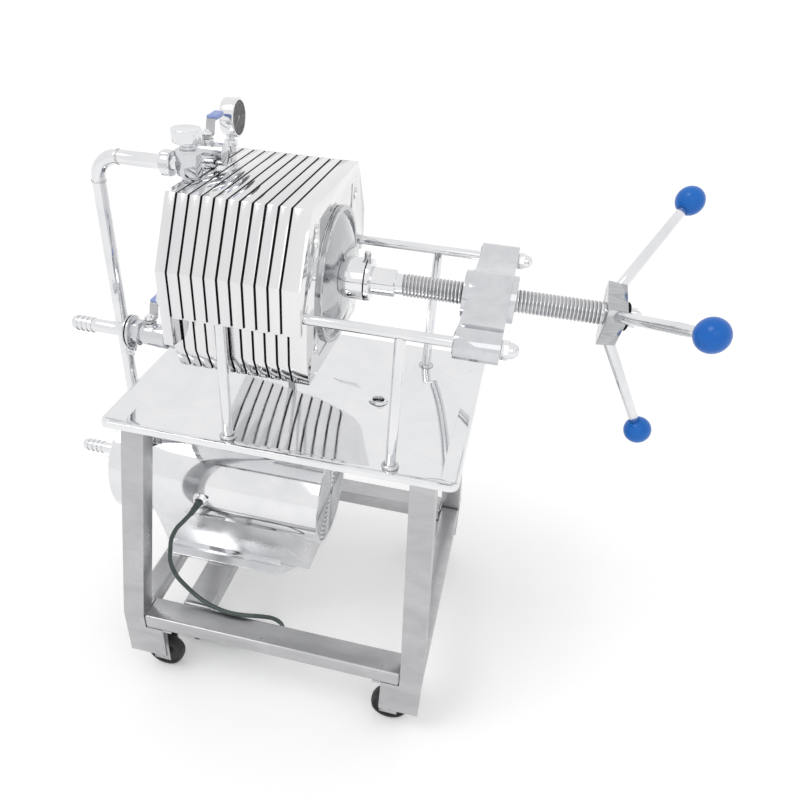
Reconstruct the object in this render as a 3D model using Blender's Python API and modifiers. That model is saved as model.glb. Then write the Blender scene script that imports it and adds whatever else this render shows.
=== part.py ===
"""Stainless plate-and-frame filter press on a wheeled table.

Lengths are metres, +Z is up and +X runs from the pump and valve end to the hand star.
"""
import math

import bmesh
import bpy
from mathutils import Matrix, Vector

# Clearances shared by the whole machine.
GAP = 0.0003
OVERRUN = 0.004
WELD_DISTANCE = 0.00002
SINK = 0.0015
FLAT_ANGLE = math.radians(0.5)
QUARTER = math.pi / 2
TURN = 2 * math.pi

# Tray
RIM_HEIGHT = 0.508
TRAY_LENGTH = 0.520
TRAY_DEPTH = 0.366
TRAY_RISE = 0.014
TRAY_RUN = 0.022
TRAY_LIP = 0.010
TRAY_LIP_OUT = 0.0015
TRAY_SHEET = 0.002
TRAY_CORNER = 0.012
DRAIN_X = 0.110
DRAIN_Y = 0.012
DRAIN_BORE = 0.0095
DRAIN_RING = 0.0155
DRAIN_RING_RISE = 0.003
DRAIN_DROP = 0.030
DRAIN_WALL = 0.002

# Table frame
LEG_WIDTH = 0.036
LEG_DEPTH = 0.030
LEG_TOP_INSET_X = 0.027
LEG_TOP_INSET_Y = 0.006
LEG_SPLAY_X = 0.023
LEG_SPLAY_Y = 0.050
LOW_RAIL_TOP = 0.146
LOW_RAIL_HEIGHT = 0.028
LOW_RAIL_WIDTH = 0.045
SIDE_RAIL_WIDTH = 0.036
CROSS_BAR_X = -0.145
CROSS_BAR_WIDTH = 0.050
SKIRT_BOTTOM = 0.050
SKIRT_WIDTH = 0.066
SKIRT_SHEET = 0.004
TUBE_EDGE = 0.0025

# Wheels
WHEEL_RADIUS = 0.0325
WHEEL_WIDTH = 0.024
WHEEL_INSET_X = 0.051
WHEEL_INSET_Y = 0.029
TYRE_DEPTH = 0.007
AXLE_RADIUS = 0.004
AXLE_PLAY = 0.0005
FORK_SHEET = 0.003
FORK_PLAY = 0.003
FORK_WIDTH = 0.030
FORK_TOP_SHEET = 0.005

# Side rails, posts and crosshead
RAIL_LIFT = 0.192
RAIL_SPREAD = 0.1466
RAIL_RADIUS = 0.007
RAIL_LEFT_NUT = 0.007
POST_RADIUS = 0.0075
POST_LEFT_X = -0.078
POST_RIGHT_X = 0.163
POST_RING = 0.012
POST_RING_RISE = 0.002
NUT_RADIUS = 0.0125
NUT_THICK = 0.010
HEAD_X = 0.230
HEAD_LENGTH = 0.056
HEAD_BOSS = 0.020
HEAD_EYE = 0.034
HEAD_EYE_LENGTH = 0.072
HEAD_WAIST = 0.013
HEAD_HOLLOW = 0.030

# Plate pack
PACK_LEFT = -0.152
PITCH = 0.0167
FILTER_PLATES = 9
GASKET = 0.0028
CLAMP_THICK = 0.0238
PLATE_TOP_RISE = 0.128
PLATE_TOP_HALF = 0.1136
PLATE_WIDE_HALF = 0.164
PLATE_WIDE_RISE = 0.0436
EAR_DROP = 0.019
FIXED_EAR_DROP = 0.060
FIXED_EAR_SLANT = 0.004
SLOT_RADIUS = 0.0095
BODY_HALF = 0.1371
SLANT_TOP_DROP = 0.0775
PLATE_DROP = 0.1115
PLATE_BOTTOM_HALF = 0.124
GASKET_INSET = 0.0015
PORT_RADIUS = 0.009
PORT_Y = 0.098
PORT_LOW_DROP = 0.066
PORT_HIGH_RISE = 0.086
RECESS_HALF_Y = 0.082
RECESS_LOW_DROP = 0.088
RECESS_HIGH_RISE = 0.106
RECESS_DEPTH = 0.0012
PLATE_EDGE = 0.0012

# Dome, collar and screw
DOME_RIM = 0.096
DOME_LIP = 0.006
DOME_LIP_WIDTH = 0.006
DOME_RISE = 0.020
COLLAR_RADIUS = 0.029
COLLAR_LENGTH = 0.033
COLLAR_WALL = 0.008
SHAFT_RADIUS = 0.019
SHAFT_OUT = 0.035
NECK_RADIUS = 0.0145
NECK_LENGTH = 0.009
THREAD_RADIUS = 0.016
THREAD_ROOT_DEPTH = 0.0015
HUB_X = 0.408
HUB_RADIUS = 0.029
HUB_LENGTH = 0.052
JOURNAL_RADIUS = 0.011
CAP_RADIUS = 0.016
CAP_LENGTH = 0.014
ARM_RADIUS = 0.0065
ARM_TIP_RADIUS = 0.0075
ARM_REACH = 0.190
ARM_LEAN = 0.070
ARM_ANGLE = math.radians(38)
KNOB_RADIUS = 0.020
KNOB_NECK = 0.009

# Pump and motor
PUMP_LIFT = 0.154
PUMP_LEFT = -0.331
PUMP_RADIUS = 0.098
PUMP_COVER = 0.030
PUMP_STEP = 0.0035
PUMP_JOINT = 0.003
PUMP_LENGTH = 0.071
MOTOR_RADIUS = 0.094
MOTOR_RIGHT = 0.040
MOTOR_NECK = 0.052
MOTOR_LOUVRE_RECESS = 0.004
BASE_SHEET = 0.004
BASE_HALF = 0.080
BASE_LEFT = -0.250
BASE_RIGHT = 0.008
BASE_CHAMFER = 0.045
INLET_LENGTH = 0.100
INLET_RADIUS = 0.0095
INLET_BORE = 0.007
INLET_NUT = 0.017
INLET_NUT_LENGTH = 0.020
BARB_RISE = 0.0018
BARB_PITCH = 0.009
BARBS = 4
GLAND_X = -0.163
GLAND_RISE = 0.005
GLAND_RADIUS = 0.0085
GLAND_LENGTH = 0.006

# Discharge pipe and the fittings on the fixed plate
PIPE_RADIUS = 0.0095
PIPE_X = -0.279
PIPE_Y = -0.055
PIPE_RUN_RISE = 0.017
PIPE_BEND = 0.034
PIPE_NUT = 0.016
PIPE_NUT_LENGTH = 0.014
VENT_BODY = 0.0145
VENT_HEIGHT = 0.034
VENT_STEM = 0.0075
VENT_STEM_RISE = 0.016
VENT_KNOB = 0.0195
VENT_KNOB_THICK = 0.016
NIPPLE_RADIUS = 0.0065
UPPER_VALVE_Y = 0.004
UPPER_VALVE_RISE = 0.0185
VALVE_BODY = 0.0135
VALVE_LENGTH = 0.050
VALVE_HEX = 0.0150
VALVE_HEX_LENGTH = 0.011
VALVE_BORE = 0.008
BONNET_RADIUS = 0.009
BONNET_RISE = 0.020
VALVE_STEM = 0.004
VALVE_STEM_RISE = 0.010
LEVER_SHEET = 0.0025
LEVER_WIDTH = 0.014
LEVER_LENGTH = 0.048
LEVER_RISE = 0.020
LEVER_HOLD = 0.009
GRIP_SHEET = 0.0065
GRIP_LENGTH = 0.030
GAUGE_Y = 0.085
GAUGE_RADIUS = 0.026
GAUGE_DEPTH = 0.022
GAUGE_RIM = 0.0025
GAUGE_NECK = 0.022
GAUGE_NECK_RADIUS = 0.007
OUTLET_Y = -0.120
OUTLET_DROP = 0.074
OUTLET_VALVE_X = -0.194
OUTLET_NUT = 0.0185
OUTLET_TUBE = 0.0095
OUTLET_END = -0.312
OUTLET_BARB_STRETCH = 0.030

# Power cord
CORD_RADIUS = 0.00375
CORD_SEGMENTS = 64
HANK_LENGTH = 0.184
HANK_WIDTH = 0.054
HANK_HEIGHT = 0.024
HANK_X = -0.176
HANK_Y = -0.115
PLUG_OFFSET = -0.0165
PLUG_TUCK = 0.0014
PLUG_LENGTH = 0.040
PLUG_WIDTH = 0.026
PLUG_HEIGHT = 0.018
PIN_LENGTH = 0.016
PIN_WIDTH = 0.006
PIN_SHEET = 0.0016
PIN_SPREAD = 0.0065

# Values that follow from the sizes above.
RAIL_HEIGHT = RIM_HEIGHT + RAIL_LIFT
LEG_TOP_X = TRAY_LENGTH / 2 - LEG_TOP_INSET_X
LEG_TOP_Y = TRAY_DEPTH / 2 - LEG_TOP_INSET_Y
FOOT_X = LEG_TOP_X + LEG_SPLAY_X
FOOT_Y = LEG_TOP_Y + LEG_SPLAY_Y
WHEEL_X = FOOT_X - WHEEL_INSET_X
WHEEL_Y = FOOT_Y - WHEEL_INSET_Y
PLATE_TOP = RAIL_HEIGHT + PLATE_TOP_RISE
PLATE_WIDE_Z = RAIL_HEIGHT + PLATE_WIDE_RISE
EAR_BOTTOM = RAIL_HEIGHT - EAR_DROP
FIXED_EAR_BOTTOM = RAIL_HEIGHT - FIXED_EAR_DROP
SLANT_TOP = RAIL_HEIGHT - SLANT_TOP_DROP
PLATE_BOTTOM = RAIL_HEIGHT - PLATE_DROP
PORT_LOW_Z = RAIL_HEIGHT - PORT_LOW_DROP
PORT_HIGH_Z = RAIL_HEIGHT + PORT_HIGH_RISE
RECESS_LOW_Z = RAIL_HEIGHT - RECESS_LOW_DROP
RECESS_HIGH_Z = RAIL_HEIGHT + RECESS_HIGH_RISE
PUMP_Z = LOW_RAIL_TOP + PUMP_LIFT
GLAND_Z = PUMP_Z + GLAND_RISE
PIPE_RUN_Z = PLATE_TOP + PIPE_RUN_RISE
UPPER_VALVE_Z = PLATE_TOP + UPPER_VALVE_RISE
OUTLET_Z = RAIL_HEIGHT - OUTLET_DROP
SCREW_Z = RAIL_HEIGHT
TRAY_FLOOR = RIM_HEIGHT - TRAY_RISE
TRAY_UNDER = TRAY_FLOOR - TRAY_SHEET
PACK_RIGHT = PACK_LEFT + (FILTER_PLATES + 1) * PITCH
CLAMP_RIGHT = PACK_RIGHT + CLAMP_THICK
COLLAR_RIGHT = CLAMP_RIGHT + DOME_RISE + COLLAR_LENGTH
SHAFT_RIGHT = COLLAR_RIGHT + SHAFT_OUT
FIXED_CENTRE = PACK_LEFT + (PITCH - GASKET) / 2
HUB_RIGHT = HUB_X + HUB_LENGTH
KNOB_X = HUB_X + HUB_LENGTH / 2 + ARM_LEAN
LOW_RAIL_UNDER = LOW_RAIL_TOP - LOW_RAIL_HEIGHT
MOTOR_LEFT = PUMP_LEFT + PUMP_LENGTH + GAP
INLET_LEFT = PUMP_LEFT - INLET_LENGTH
CENTRE_X = (INLET_LEFT + KNOB_X + KNOB_RADIUS) / 2
GLAND_FACE = -MOTOR_RADIUS - GLAND_LENGTH

COLLECTION_NAME = "filter_press"
STEPS = 24
FINE_STEPS = 32
SMALL_STEPS = 18
WHEEL_STEPS = 24

FINISHES = {
    "mirror_steel": ((0.74, 0.75, 0.77, 1), 0.08, 1.0),
    "satin_steel": ((0.56, 0.57, 0.59, 1), 0.32, 1.0),
    "cast_steel": ((0.60, 0.61, 0.63, 1), 0.24, 1.0),
    "dark_steel": ((0.16, 0.16, 0.17, 1), 0.35, 1.0),
    "knob_blue": ((0.01, 0.10, 0.60, 1), 0.12, 0.0),
    "sleeve_blue": ((0.25, 0.33, 0.72, 1), 0.40, 0.0),
    "tyre_black": ((0.015, 0.015, 0.017, 1), 0.55, 0.0),
    "cord_green": ((0.07, 0.11, 0.10, 1), 0.50, 0.0),
}


def clear_scene():
    """Remove every object of the scene that is open."""
    for item in list(bpy.data.objects):
        bpy.data.objects.remove(item, do_unlink=True)


def make_collection(name):
    """Return a new collection linked to the scene."""
    group = bpy.data.collections.new(name)
    bpy.context.scene.collection.children.link(group)
    return group


def finish_of(name):
    """Return the material of a finish, made on first use."""
    found = bpy.data.materials.get(name)
    if found:
        return found
    colour, roughness, metallic = FINISHES[name]
    made = bpy.data.materials.new(name)
    made.use_nodes = True
    shader = made.node_tree.nodes["Principled BSDF"]
    shader.inputs["Base Color"].default_value = colour
    shader.inputs["Roughness"].default_value = roughness
    shader.inputs["Metallic"].default_value = metallic
    made.diffuse_color = colour
    return made


class Workshop:
    """Holds the collections and the machine's parent empty while the pieces are made."""

    def __init__(self):
        self.parts = make_collection(COLLECTION_NAME)
        self.cutters = make_collection(COLLECTION_NAME + "_cutters")
        self.origin = bpy.data.objects.new("press_origin", None)
        self.parts.objects.link(self.origin)
        self.origin.location = (-CENTRE_X, 0, 0)

    def add(self, name, data, finish=None, spot=(0, 0, 0), turn=(0, 0, 0), tool=False):
        """Link an object to the parts, or to the cutters when it is a tool."""
        item = bpy.data.objects.new(name, data)
        item.parent = self.origin
        item.location = spot
        item.rotation_euler = turn
        (self.cutters if tool else self.parts).objects.link(item)
        if finish:
            item.data.materials.clear()
            item.data.materials.append(finish_of(finish))
        if tool:
            item.hide_render = True
            item.display_type = "WIRE"
        return item

    def baked(self, item):
        """Return the mesh of an object as the viewport shows it."""
        bpy.context.view_layer.update()
        shown = item.evaluated_get(bpy.context.evaluated_depsgraph_get())
        mesh = bpy.data.meshes.new_from_object(shown)
        work = bmesh.new()
        work.from_mesh(mesh)
        bmesh.ops.remove_doubles(work, verts=work.verts, dist=WELD_DISTANCE)
        bmesh.ops.recalc_face_normals(work, faces=work.faces)
        work.to_mesh(mesh)
        work.free()
        return mesh

    def block(self, name, size, centre, finish=None, edge=0, turn=(0, 0, 0), tool=False):
        """A box with softened edges."""
        work = bmesh.new()
        bmesh.ops.create_cube(work, size=1)
        bmesh.ops.scale(work, vec=size, verts=work.verts)
        mesh = bpy.data.meshes.new(name)
        work.to_mesh(mesh)
        work.free()
        item = self.add(name, mesh, finish, centre, turn, tool)
        if edge:
            soften(item, edge)
        return item

    def rod(self, name, radius, length, centre, axis="X", finish=None, tool=False, segments=STEPS, tip=None):
        """A cylinder or cone along one axis, with its middle at the centre."""
        work = bmesh.new()
        bmesh.ops.create_cone(work, cap_ends=True, segments=segments, radius1=radius,
                              radius2=radius if tip is None else tip, depth=length)
        mesh = bpy.data.meshes.new(name)
        work.to_mesh(mesh)
        work.free()
        return self.add(name, smooth(mesh), finish, centre, axis_turn(axis), tool)

    def turned(self, name, profile, spot, axis="X", finish=None, steps=STEPS, closed=False, tool=False):
        """A profile of (radius, height) points turned about one axis by a Screw modifier."""
        work = bmesh.new()
        points = [work.verts.new((radius, 0, height)) for radius, height in profile]
        for first, second in zip(points, points[1:] + points[:1] if closed else points[1:]):
            work.edges.new((first, second))
        mesh = bpy.data.meshes.new(name)
        work.to_mesh(mesh)
        work.free()
        item = self.add(name, mesh, finish, spot, axis_turn(axis), tool)
        spin = item.modifiers.new("turn", "SCREW")
        spin.angle = TURN
        spin.steps = steps
        spin.render_steps = steps
        spin.use_merge_vertices = True
        spin.merge_threshold = WELD_DISTANCE
        spin.use_smooth_shade = True
        return item

    def outline(self, name, points, thickness, centre, plane="YZ", finish=None, tool=False):
        """A flat outline given thickness; the centre is the middle of its thickness."""
        curve = bpy.data.curves.new(name, "CURVE")
        curve.dimensions = "2D"
        curve.fill_mode = "BOTH"
        curve.extrude = thickness / 2
        line = curve.splines.new("POLY")
        line.points.add(len(points) - 1)
        for spot, (across, up) in zip(line.points, points):
            spot.co = (across, up, 0, 1)
        line.use_cyclic_u = True
        drawn = self.add(name + "_outline", curve, None, tool=True)
        mesh = self.baked(drawn)
        work = bmesh.new()
        work.from_mesh(mesh)
        bmesh.ops.dissolve_limit(work, angle_limit=FLAT_ANGLE, verts=work.verts, edges=work.edges)
        work.to_mesh(mesh)
        work.free()
        bpy.data.objects.remove(drawn, do_unlink=True)
        mesh.name = name
        turn = {"YZ": (QUARTER, 0, QUARTER), "XZ": (QUARTER, 0, 0), "XY": (0, 0, 0)}[plane]
        return self.add(name, mesh, finish, centre, turn, tool)

    def tube(self, name, points, radius, finish=None, resolution=4, tool=False):
        """A round rod along a line of points, as a closed mesh."""
        curve = bpy.data.curves.new(name, "CURVE")
        curve.dimensions = "3D"
        curve.bevel_depth = radius
        curve.bevel_resolution = resolution
        curve.use_fill_caps = True
        line = curve.splines.new("POLY")
        line.points.add(len(points) - 1)
        for spot, place in zip(line.points, points):
            spot.co = (*place, 1)
        drawn = self.add(name + "_line", curve, None, tool=True)
        mesh = self.baked(drawn)
        bpy.data.objects.remove(drawn, do_unlink=True)
        mesh.name = name
        return self.add(name, smooth(mesh), finish, tool=tool)


def smooth(mesh):
    """Shade a round mesh smooth and keep its sharp edges."""
    mesh.shade_smooth()
    mesh.set_sharp_from_angle(angle=math.radians(35))
    return mesh


def axis_turn(axis):
    """Rotation that lays local +Z along a world axis."""
    return {"X": (0, QUARTER, 0), "-X": (0, -QUARTER, 0), "Y": (-QUARTER, 0, 0),
            "-Y": (QUARTER, 0, 0), "Z": (0, 0, 0)}[axis]


def soften(item, width, segments=1):
    """Round the edges of a piece a little."""
    edge = item.modifiers.new("edge", "BEVEL")
    edge.width = width
    edge.segments = segments
    edge.limit_method = "ANGLE"
    return edge


def combine(item, tool, operation):
    """Add a Boolean with another solid."""
    step = item.modifiers.new(tool.name, "BOOLEAN")
    step.operation = operation
    step.object = tool
    step.solver = "EXACT"


def cut(item, *tools):
    """Take solids away from a piece."""
    for tool in tools:
        combine(item, tool, "DIFFERENCE")


def fuse(item, *tools):
    """Join solids to a piece."""
    for tool in tools:
        combine(item, tool, "UNION")


def arc(centre, radius, start, end, count):
    """Points along an arc, in radians, both ends included."""
    return [(centre[0] + radius * math.cos(start + (end - start) * step / count),
             centre[1] + radius * math.sin(start + (end - start) * step / count))
            for step in range(count + 1)]


def rounded_loop(half_x, half_y, radius, steps=4):
    """A rectangle's outline with round corners, anticlockwise."""
    points = []
    for index, (side_x, side_y) in enumerate(((1, 1), (-1, 1), (-1, -1), (1, -1))):
        centre = (side_x * (half_x - radius), side_y * (half_y - radius))
        points += arc(centre, radius, index * QUARTER, (index + 1) * QUARTER, steps)
    return points


def make_tray(shop):
    """Shallow tray: floor, flared walls and a rim turned down, with the drain socket."""
    levels = (
        (TRAY_LENGTH / 2 - TRAY_RUN, TRAY_DEPTH / 2 - TRAY_RUN, TRAY_UNDER),
        (TRAY_LENGTH / 2 - TRAY_SHEET, TRAY_DEPTH / 2 - TRAY_SHEET, RIM_HEIGHT - TRAY_SHEET),
        (TRAY_LENGTH / 2, TRAY_DEPTH / 2, RIM_HEIGHT - TRAY_SHEET),
        (TRAY_LENGTH / 2 + TRAY_LIP_OUT, TRAY_DEPTH / 2 + TRAY_LIP_OUT, RIM_HEIGHT - TRAY_LIP),
    )
    work = bmesh.new()
    rings = []
    for half_x, half_y, height in levels:
        rings.append([work.verts.new((x, y, height)) for x, y in rounded_loop(half_x, half_y, TRAY_CORNER)])
    work.faces.new(rings[0])
    for low, high in zip(rings, rings[1:]):
        for index in range(len(low)):
            after = (index + 1) % len(low)
            work.faces.new((low[index], low[after], high[after], high[index]))
    bmesh.ops.recalc_face_normals(work, faces=work.faces)
    mesh = bpy.data.meshes.new("tray")
    work.to_mesh(mesh)
    work.free()
    tray = shop.add("tray", mesh, "mirror_steel")
    sheet = tray.modifiers.new("sheet", "SOLIDIFY")
    sheet.thickness = TRAY_SHEET
    sheet.offset = tray_side(mesh)
    hole = shop.rod("tray_hole", DRAIN_BORE + DRAIN_WALL + GAP, TRAY_RISE + OVERRUN,
                    (DRAIN_X, DRAIN_Y, TRAY_UNDER), "Z", tool=True)
    cut(tray, hole)
    ring_top = TRAY_FLOOR + DRAIN_RING_RISE
    pipe_low = TRAY_UNDER - DRAIN_DROP
    outer = DRAIN_BORE + DRAIN_WALL
    shop.turned("drain_socket", [(DRAIN_BORE, ring_top), (DRAIN_RING, TRAY_FLOOR + GAP), (outer, TRAY_FLOOR + GAP),
                                 (outer, pipe_low), (DRAIN_BORE, pipe_low)],
                (DRAIN_X, DRAIN_Y, 0), "Z", "mirror_steel", closed=True)


def tray_side(mesh):
    """Solidify offset that grows the sheet upward and inward."""
    return 1 if mesh.polygons[0].normal.z > 0 else -1


def make_leg(shop, name, side_x, side_y):
    """Splayed leg of square tube with the skirt plate and the wheel fork at its foot."""
    top = TRAY_UNDER - GAP
    work = bmesh.new()
    sections = ((FOOT_X, FOOT_Y, LOW_RAIL_UNDER), (FOOT_X, FOOT_Y, LOW_RAIL_TOP), (LEG_TOP_X, LEG_TOP_Y, top))
    rings = []
    for outer_x, outer_y, height in sections:
        corners = ((outer_x, outer_y), (outer_x - LEG_WIDTH, outer_y),
                   (outer_x - LEG_WIDTH, outer_y - LEG_DEPTH), (outer_x, outer_y - LEG_DEPTH))
        rings.append([work.verts.new((side_x * x, side_y * y, height)) for x, y in corners])
    work.faces.new(rings[0])
    work.faces.new(rings[-1])
    for low, high in zip(rings, rings[1:]):
        for index in range(4):
            after = (index + 1) % 4
            work.faces.new((low[index], low[after], high[after], high[index]))
    bmesh.ops.recalc_face_normals(work, faces=work.faces)
    mesh = bpy.data.meshes.new(name)
    work.to_mesh(mesh)
    work.free()
    leg = shop.add(name, mesh, "satin_steel")
    skirt_top = LOW_RAIL_UNDER + SINK
    skirt = shop.block(name + "_skirt", (SKIRT_WIDTH, SKIRT_SHEET, skirt_top - SKIRT_BOTTOM),
                       (side_x * (FOOT_X - SKIRT_WIDTH / 2), side_y * (FOOT_Y - SKIRT_SHEET / 2),
                        (skirt_top + SKIRT_BOTTOM) / 2), tool=True)
    notch = shop.block(name + "_notch", (SKIRT_WIDTH, SKIRT_SHEET + OVERRUN, SINK + GAP + OVERRUN),
                       (side_x * (FOOT_X - LEG_WIDTH - SKIRT_WIDTH / 2), side_y * (FOOT_Y - SKIRT_SHEET / 2),
                        LOW_RAIL_UNDER - GAP + (SINK + GAP + OVERRUN) / 2), tool=True)
    cheek_out = WHEEL_WIDTH / 2 + FORK_PLAY + FORK_SHEET
    plate_low = LOW_RAIL_UNDER - GAP - FORK_TOP_SHEET
    plate_in = WHEEL_X - FORK_WIDTH
    plate_reach_y = FOOT_Y - SINK - (WHEEL_Y - cheek_out)
    top_plate = shop.block(name + "_top", (FOOT_X - SINK - plate_in, plate_reach_y, FORK_TOP_SHEET),
                           (side_x * (FOOT_X - SINK + plate_in) / 2,
                            side_y * (WHEEL_Y - cheek_out + plate_reach_y / 2), plate_low + FORK_TOP_SHEET / 2),
                           tool=True)
    saddle = shop.block(name + "_saddle", (LEG_WIDTH - OVERRUN, LEG_DEPTH - OVERRUN, OVERRUN),
                        (side_x * (FOOT_X - LEG_WIDTH / 2), side_y * (FOOT_Y - LEG_DEPTH / 2), LOW_RAIL_UNDER),
                        tool=True)
    fork_low = WHEEL_RADIUS - AXLE_RADIUS - FORK_SHEET
    fork_top = plate_low + SINK
    cheeks = []
    for index, way in enumerate((1, -1)):
        cheeks.append(shop.block(f"{name}_cheek_{index}", (FORK_WIDTH, FORK_SHEET, fork_top - fork_low),
                                 (side_x * WHEEL_X, side_y * WHEEL_Y + way * (cheek_out - FORK_SHEET / 2),
                                  (fork_top + fork_low) / 2), tool=True))
    axle = shop.rod(name + "_axle", AXLE_RADIUS, 2 * cheek_out + FORK_SHEET,
                    (side_x * WHEEL_X, side_y * WHEEL_Y, WHEEL_RADIUS), "Y", tool=True, segments=16)
    cut(skirt, notch)
    fuse(leg, saddle, top_plate, skirt, *cheeks, axle)
    return leg


def make_wheel(shop, name, side_x, side_y):
    """Wheel with a rubber tyre, turned about its axle."""
    half = WHEEL_WIDTH / 2
    bore = AXLE_RADIUS + AXLE_PLAY
    tread = half - TYRE_DEPTH / 2
    rim = WHEEL_RADIUS - TYRE_DEPTH
    hub = bore + FORK_SHEET
    profile = [(hub, half), (hub, tread), (rim, tread), (rim, half), (WHEEL_RADIUS, tread), (WHEEL_RADIUS, -tread),
               (rim, -half), (rim, -tread), (hub, -tread), (hub, -half), (bore, -half), (bore, half)]
    shop.turned(name, profile, (side_x * WHEEL_X, side_y * WHEEL_Y, WHEEL_RADIUS), "Y", "tyre_black",
                steps=WHEEL_STEPS, closed=True)


def make_frame(shop):
    """Four legs on wheels, the lower rails and the bar that carries the pump."""
    for index, (side_x, side_y) in enumerate(((-1, -1), (1, -1), (1, 1), (-1, 1)), 1):
        make_leg(shop, f"leg_{index}", side_x, side_y)
        make_wheel(shop, f"wheel_{index}", side_x, side_y)
    middle = (LOW_RAIL_TOP + LOW_RAIL_UNDER) / 2
    long_rail = 2 * (FOOT_X - LEG_WIDTH - GAP)
    rail_y = FOOT_Y - LOW_RAIL_WIDTH / 2
    shop.block("low_rail_front", (long_rail, LOW_RAIL_WIDTH, LOW_RAIL_HEIGHT), (0, -rail_y, middle),
               "satin_steel", TUBE_EDGE)
    shop.block("low_rail_back", (long_rail, LOW_RAIL_WIDTH, LOW_RAIL_HEIGHT), (0, rail_y, middle),
               "satin_steel", TUBE_EDGE)
    side_rail = 2 * (FOOT_Y - LEG_DEPTH - GAP)
    side_x = FOOT_X - SIDE_RAIL_WIDTH / 2
    shop.block("low_rail_left", (SIDE_RAIL_WIDTH, side_rail, LOW_RAIL_HEIGHT), (-side_x, 0, middle),
               "satin_steel", TUBE_EDGE)
    shop.block("low_rail_right", (SIDE_RAIL_WIDTH, side_rail, LOW_RAIL_HEIGHT), (side_x, 0, middle),
               "satin_steel", TUBE_EDGE)
    bar = 2 * (FOOT_Y - LOW_RAIL_WIDTH - GAP)
    shop.block("pump_bar", (CROSS_BAR_WIDTH, bar, LOW_RAIL_HEIGHT), (CROSS_BAR_X, 0, middle),
               "satin_steel", TUBE_EDGE)


def make_rails(shop):
    """Two round rails with cap nuts, and the four posts that stand on the tray."""
    left = PACK_LEFT - GAP
    head_right = HEAD_X + HEAD_LENGTH + GAP
    for name, side in (("rail_front", -1), ("rail_back", 1)):
        nut = NUT_RADIUS
        profile = [(0, head_right + NUT_THICK + nut)]
        profile += [(nut * math.sin(QUARTER * step / 4), head_right + NUT_THICK + nut * math.cos(QUARTER * step / 4))
                    for step in range(1, 5)]
        profile += [(nut, head_right), (RAIL_RADIUS, head_right), (RAIL_RADIUS, left),
                    (nut, left), (nut, left - RAIL_LEFT_NUT), (0, left - RAIL_LEFT_NUT)]
        shop.turned(name, profile, (0, side * RAIL_SPREAD, RAIL_HEIGHT), "X", "mirror_steel", steps=SMALL_STEPS)
    foot = TRAY_FLOOR + GAP
    top = RAIL_HEIGHT
    profile = [(0, top), (POST_RADIUS, top), (POST_RADIUS, foot + POST_RING_RISE), (POST_RING, foot), (0, foot)]
    sample = shop.turned("post_sample", profile, (0, 0, 0), "Z", tool=True, steps=SMALL_STEPS)
    seat = shop.rod("post_seat", RAIL_RADIUS + GAP, POST_RING + POST_RADIUS + OVERRUN, (0, 0, RAIL_HEIGHT), "X", tool=True,
                    segments=24)
    roof = shop.block("post_roof", (POST_RING + POST_RADIUS, POST_RING + POST_RADIUS, POST_RADIUS),
                      (0, 0, RAIL_HEIGHT - RAIL_RADIUS * SADDLE_SHARE + POST_RADIUS / 2), tool=True)
    cut(sample, seat, roof)
    mesh = shop.baked(sample)
    bpy.data.objects.remove(sample, do_unlink=True)
    places = (("post_front_left", POST_LEFT_X, -1), ("post_front_right", POST_RIGHT_X, -1),
              ("post_back_left", POST_LEFT_X, 1), ("post_back_right", POST_RIGHT_X, 1))
    for name, along, side in places:
        shop.add(name, mesh, "mirror_steel", (along, side * RAIL_SPREAD, 0))


SADDLE_SHARE = 0.35


def hollow_line(first, middle, last):
    """Points between two ends on the parabola that passes a middle point."""
    points = []
    for share in (0.25, 0.5, 0.75):
        weights = ((1 - share) * (1 - 2 * share), 4 * share * (1 - share), share * (2 * share - 1))
        points.append(tuple(sum(weight * spot[side] for weight, spot in zip(weights, (first, middle, last)))
                            for side in (0, 1)))
    return points


def make_crosshead(shop):
    """Cast crosshead: two rail bosses and the screw's eye on a waisted web."""
    eye = arc((0, SCREW_Z), HEAD_EYE, math.radians(40), math.radians(140), 8)
    boss_left = arc((-RAIL_SPREAD, RAIL_HEIGHT), HEAD_BOSS, math.radians(60), math.radians(300), 10)
    waist = ((-(HEAD_EYE + RAIL_SPREAD) / 2, SCREW_Z + HEAD_WAIST))
    upper = hollow_line(eye[-1], waist, boss_left[0])
    points = list(eye)
    points += upper
    points += boss_left
    points += [(y, 2 * SCREW_Z - z) for y, z in reversed(upper)]
    points += [(y, 2 * SCREW_Z - z) for y, z in reversed(eye)]
    points += [(-y, z) for y, z in reversed(points[len(eye):-len(eye)])]
    head = shop.outline("crosshead", points, HEAD_LENGTH, (HEAD_X + HEAD_LENGTH / 2, 0, 0), "YZ", "cast_steel")
    hub = shop.rod("crosshead_eye", HEAD_EYE - SINK, HEAD_EYE_LENGTH, (HEAD_X + HEAD_LENGTH / 2, 0, SCREW_Z), "X",
                   tool=True, segments=FINE_STEPS)
    fuse(head, hub)
    for name, across, radius in (("front", -RAIL_SPREAD, RAIL_RADIUS + GAP), ("back", RAIL_SPREAD, RAIL_RADIUS + GAP),
                                 ("screw", 0, THREAD_RADIUS + GAP)):
        cut(head, shop.rod("crosshead_hole_" + name, radius, HEAD_EYE_LENGTH + OVERRUN,
                           (HEAD_X + HEAD_LENGTH / 2, across, SCREW_Z), "X", tool=True, segments=24))


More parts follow.
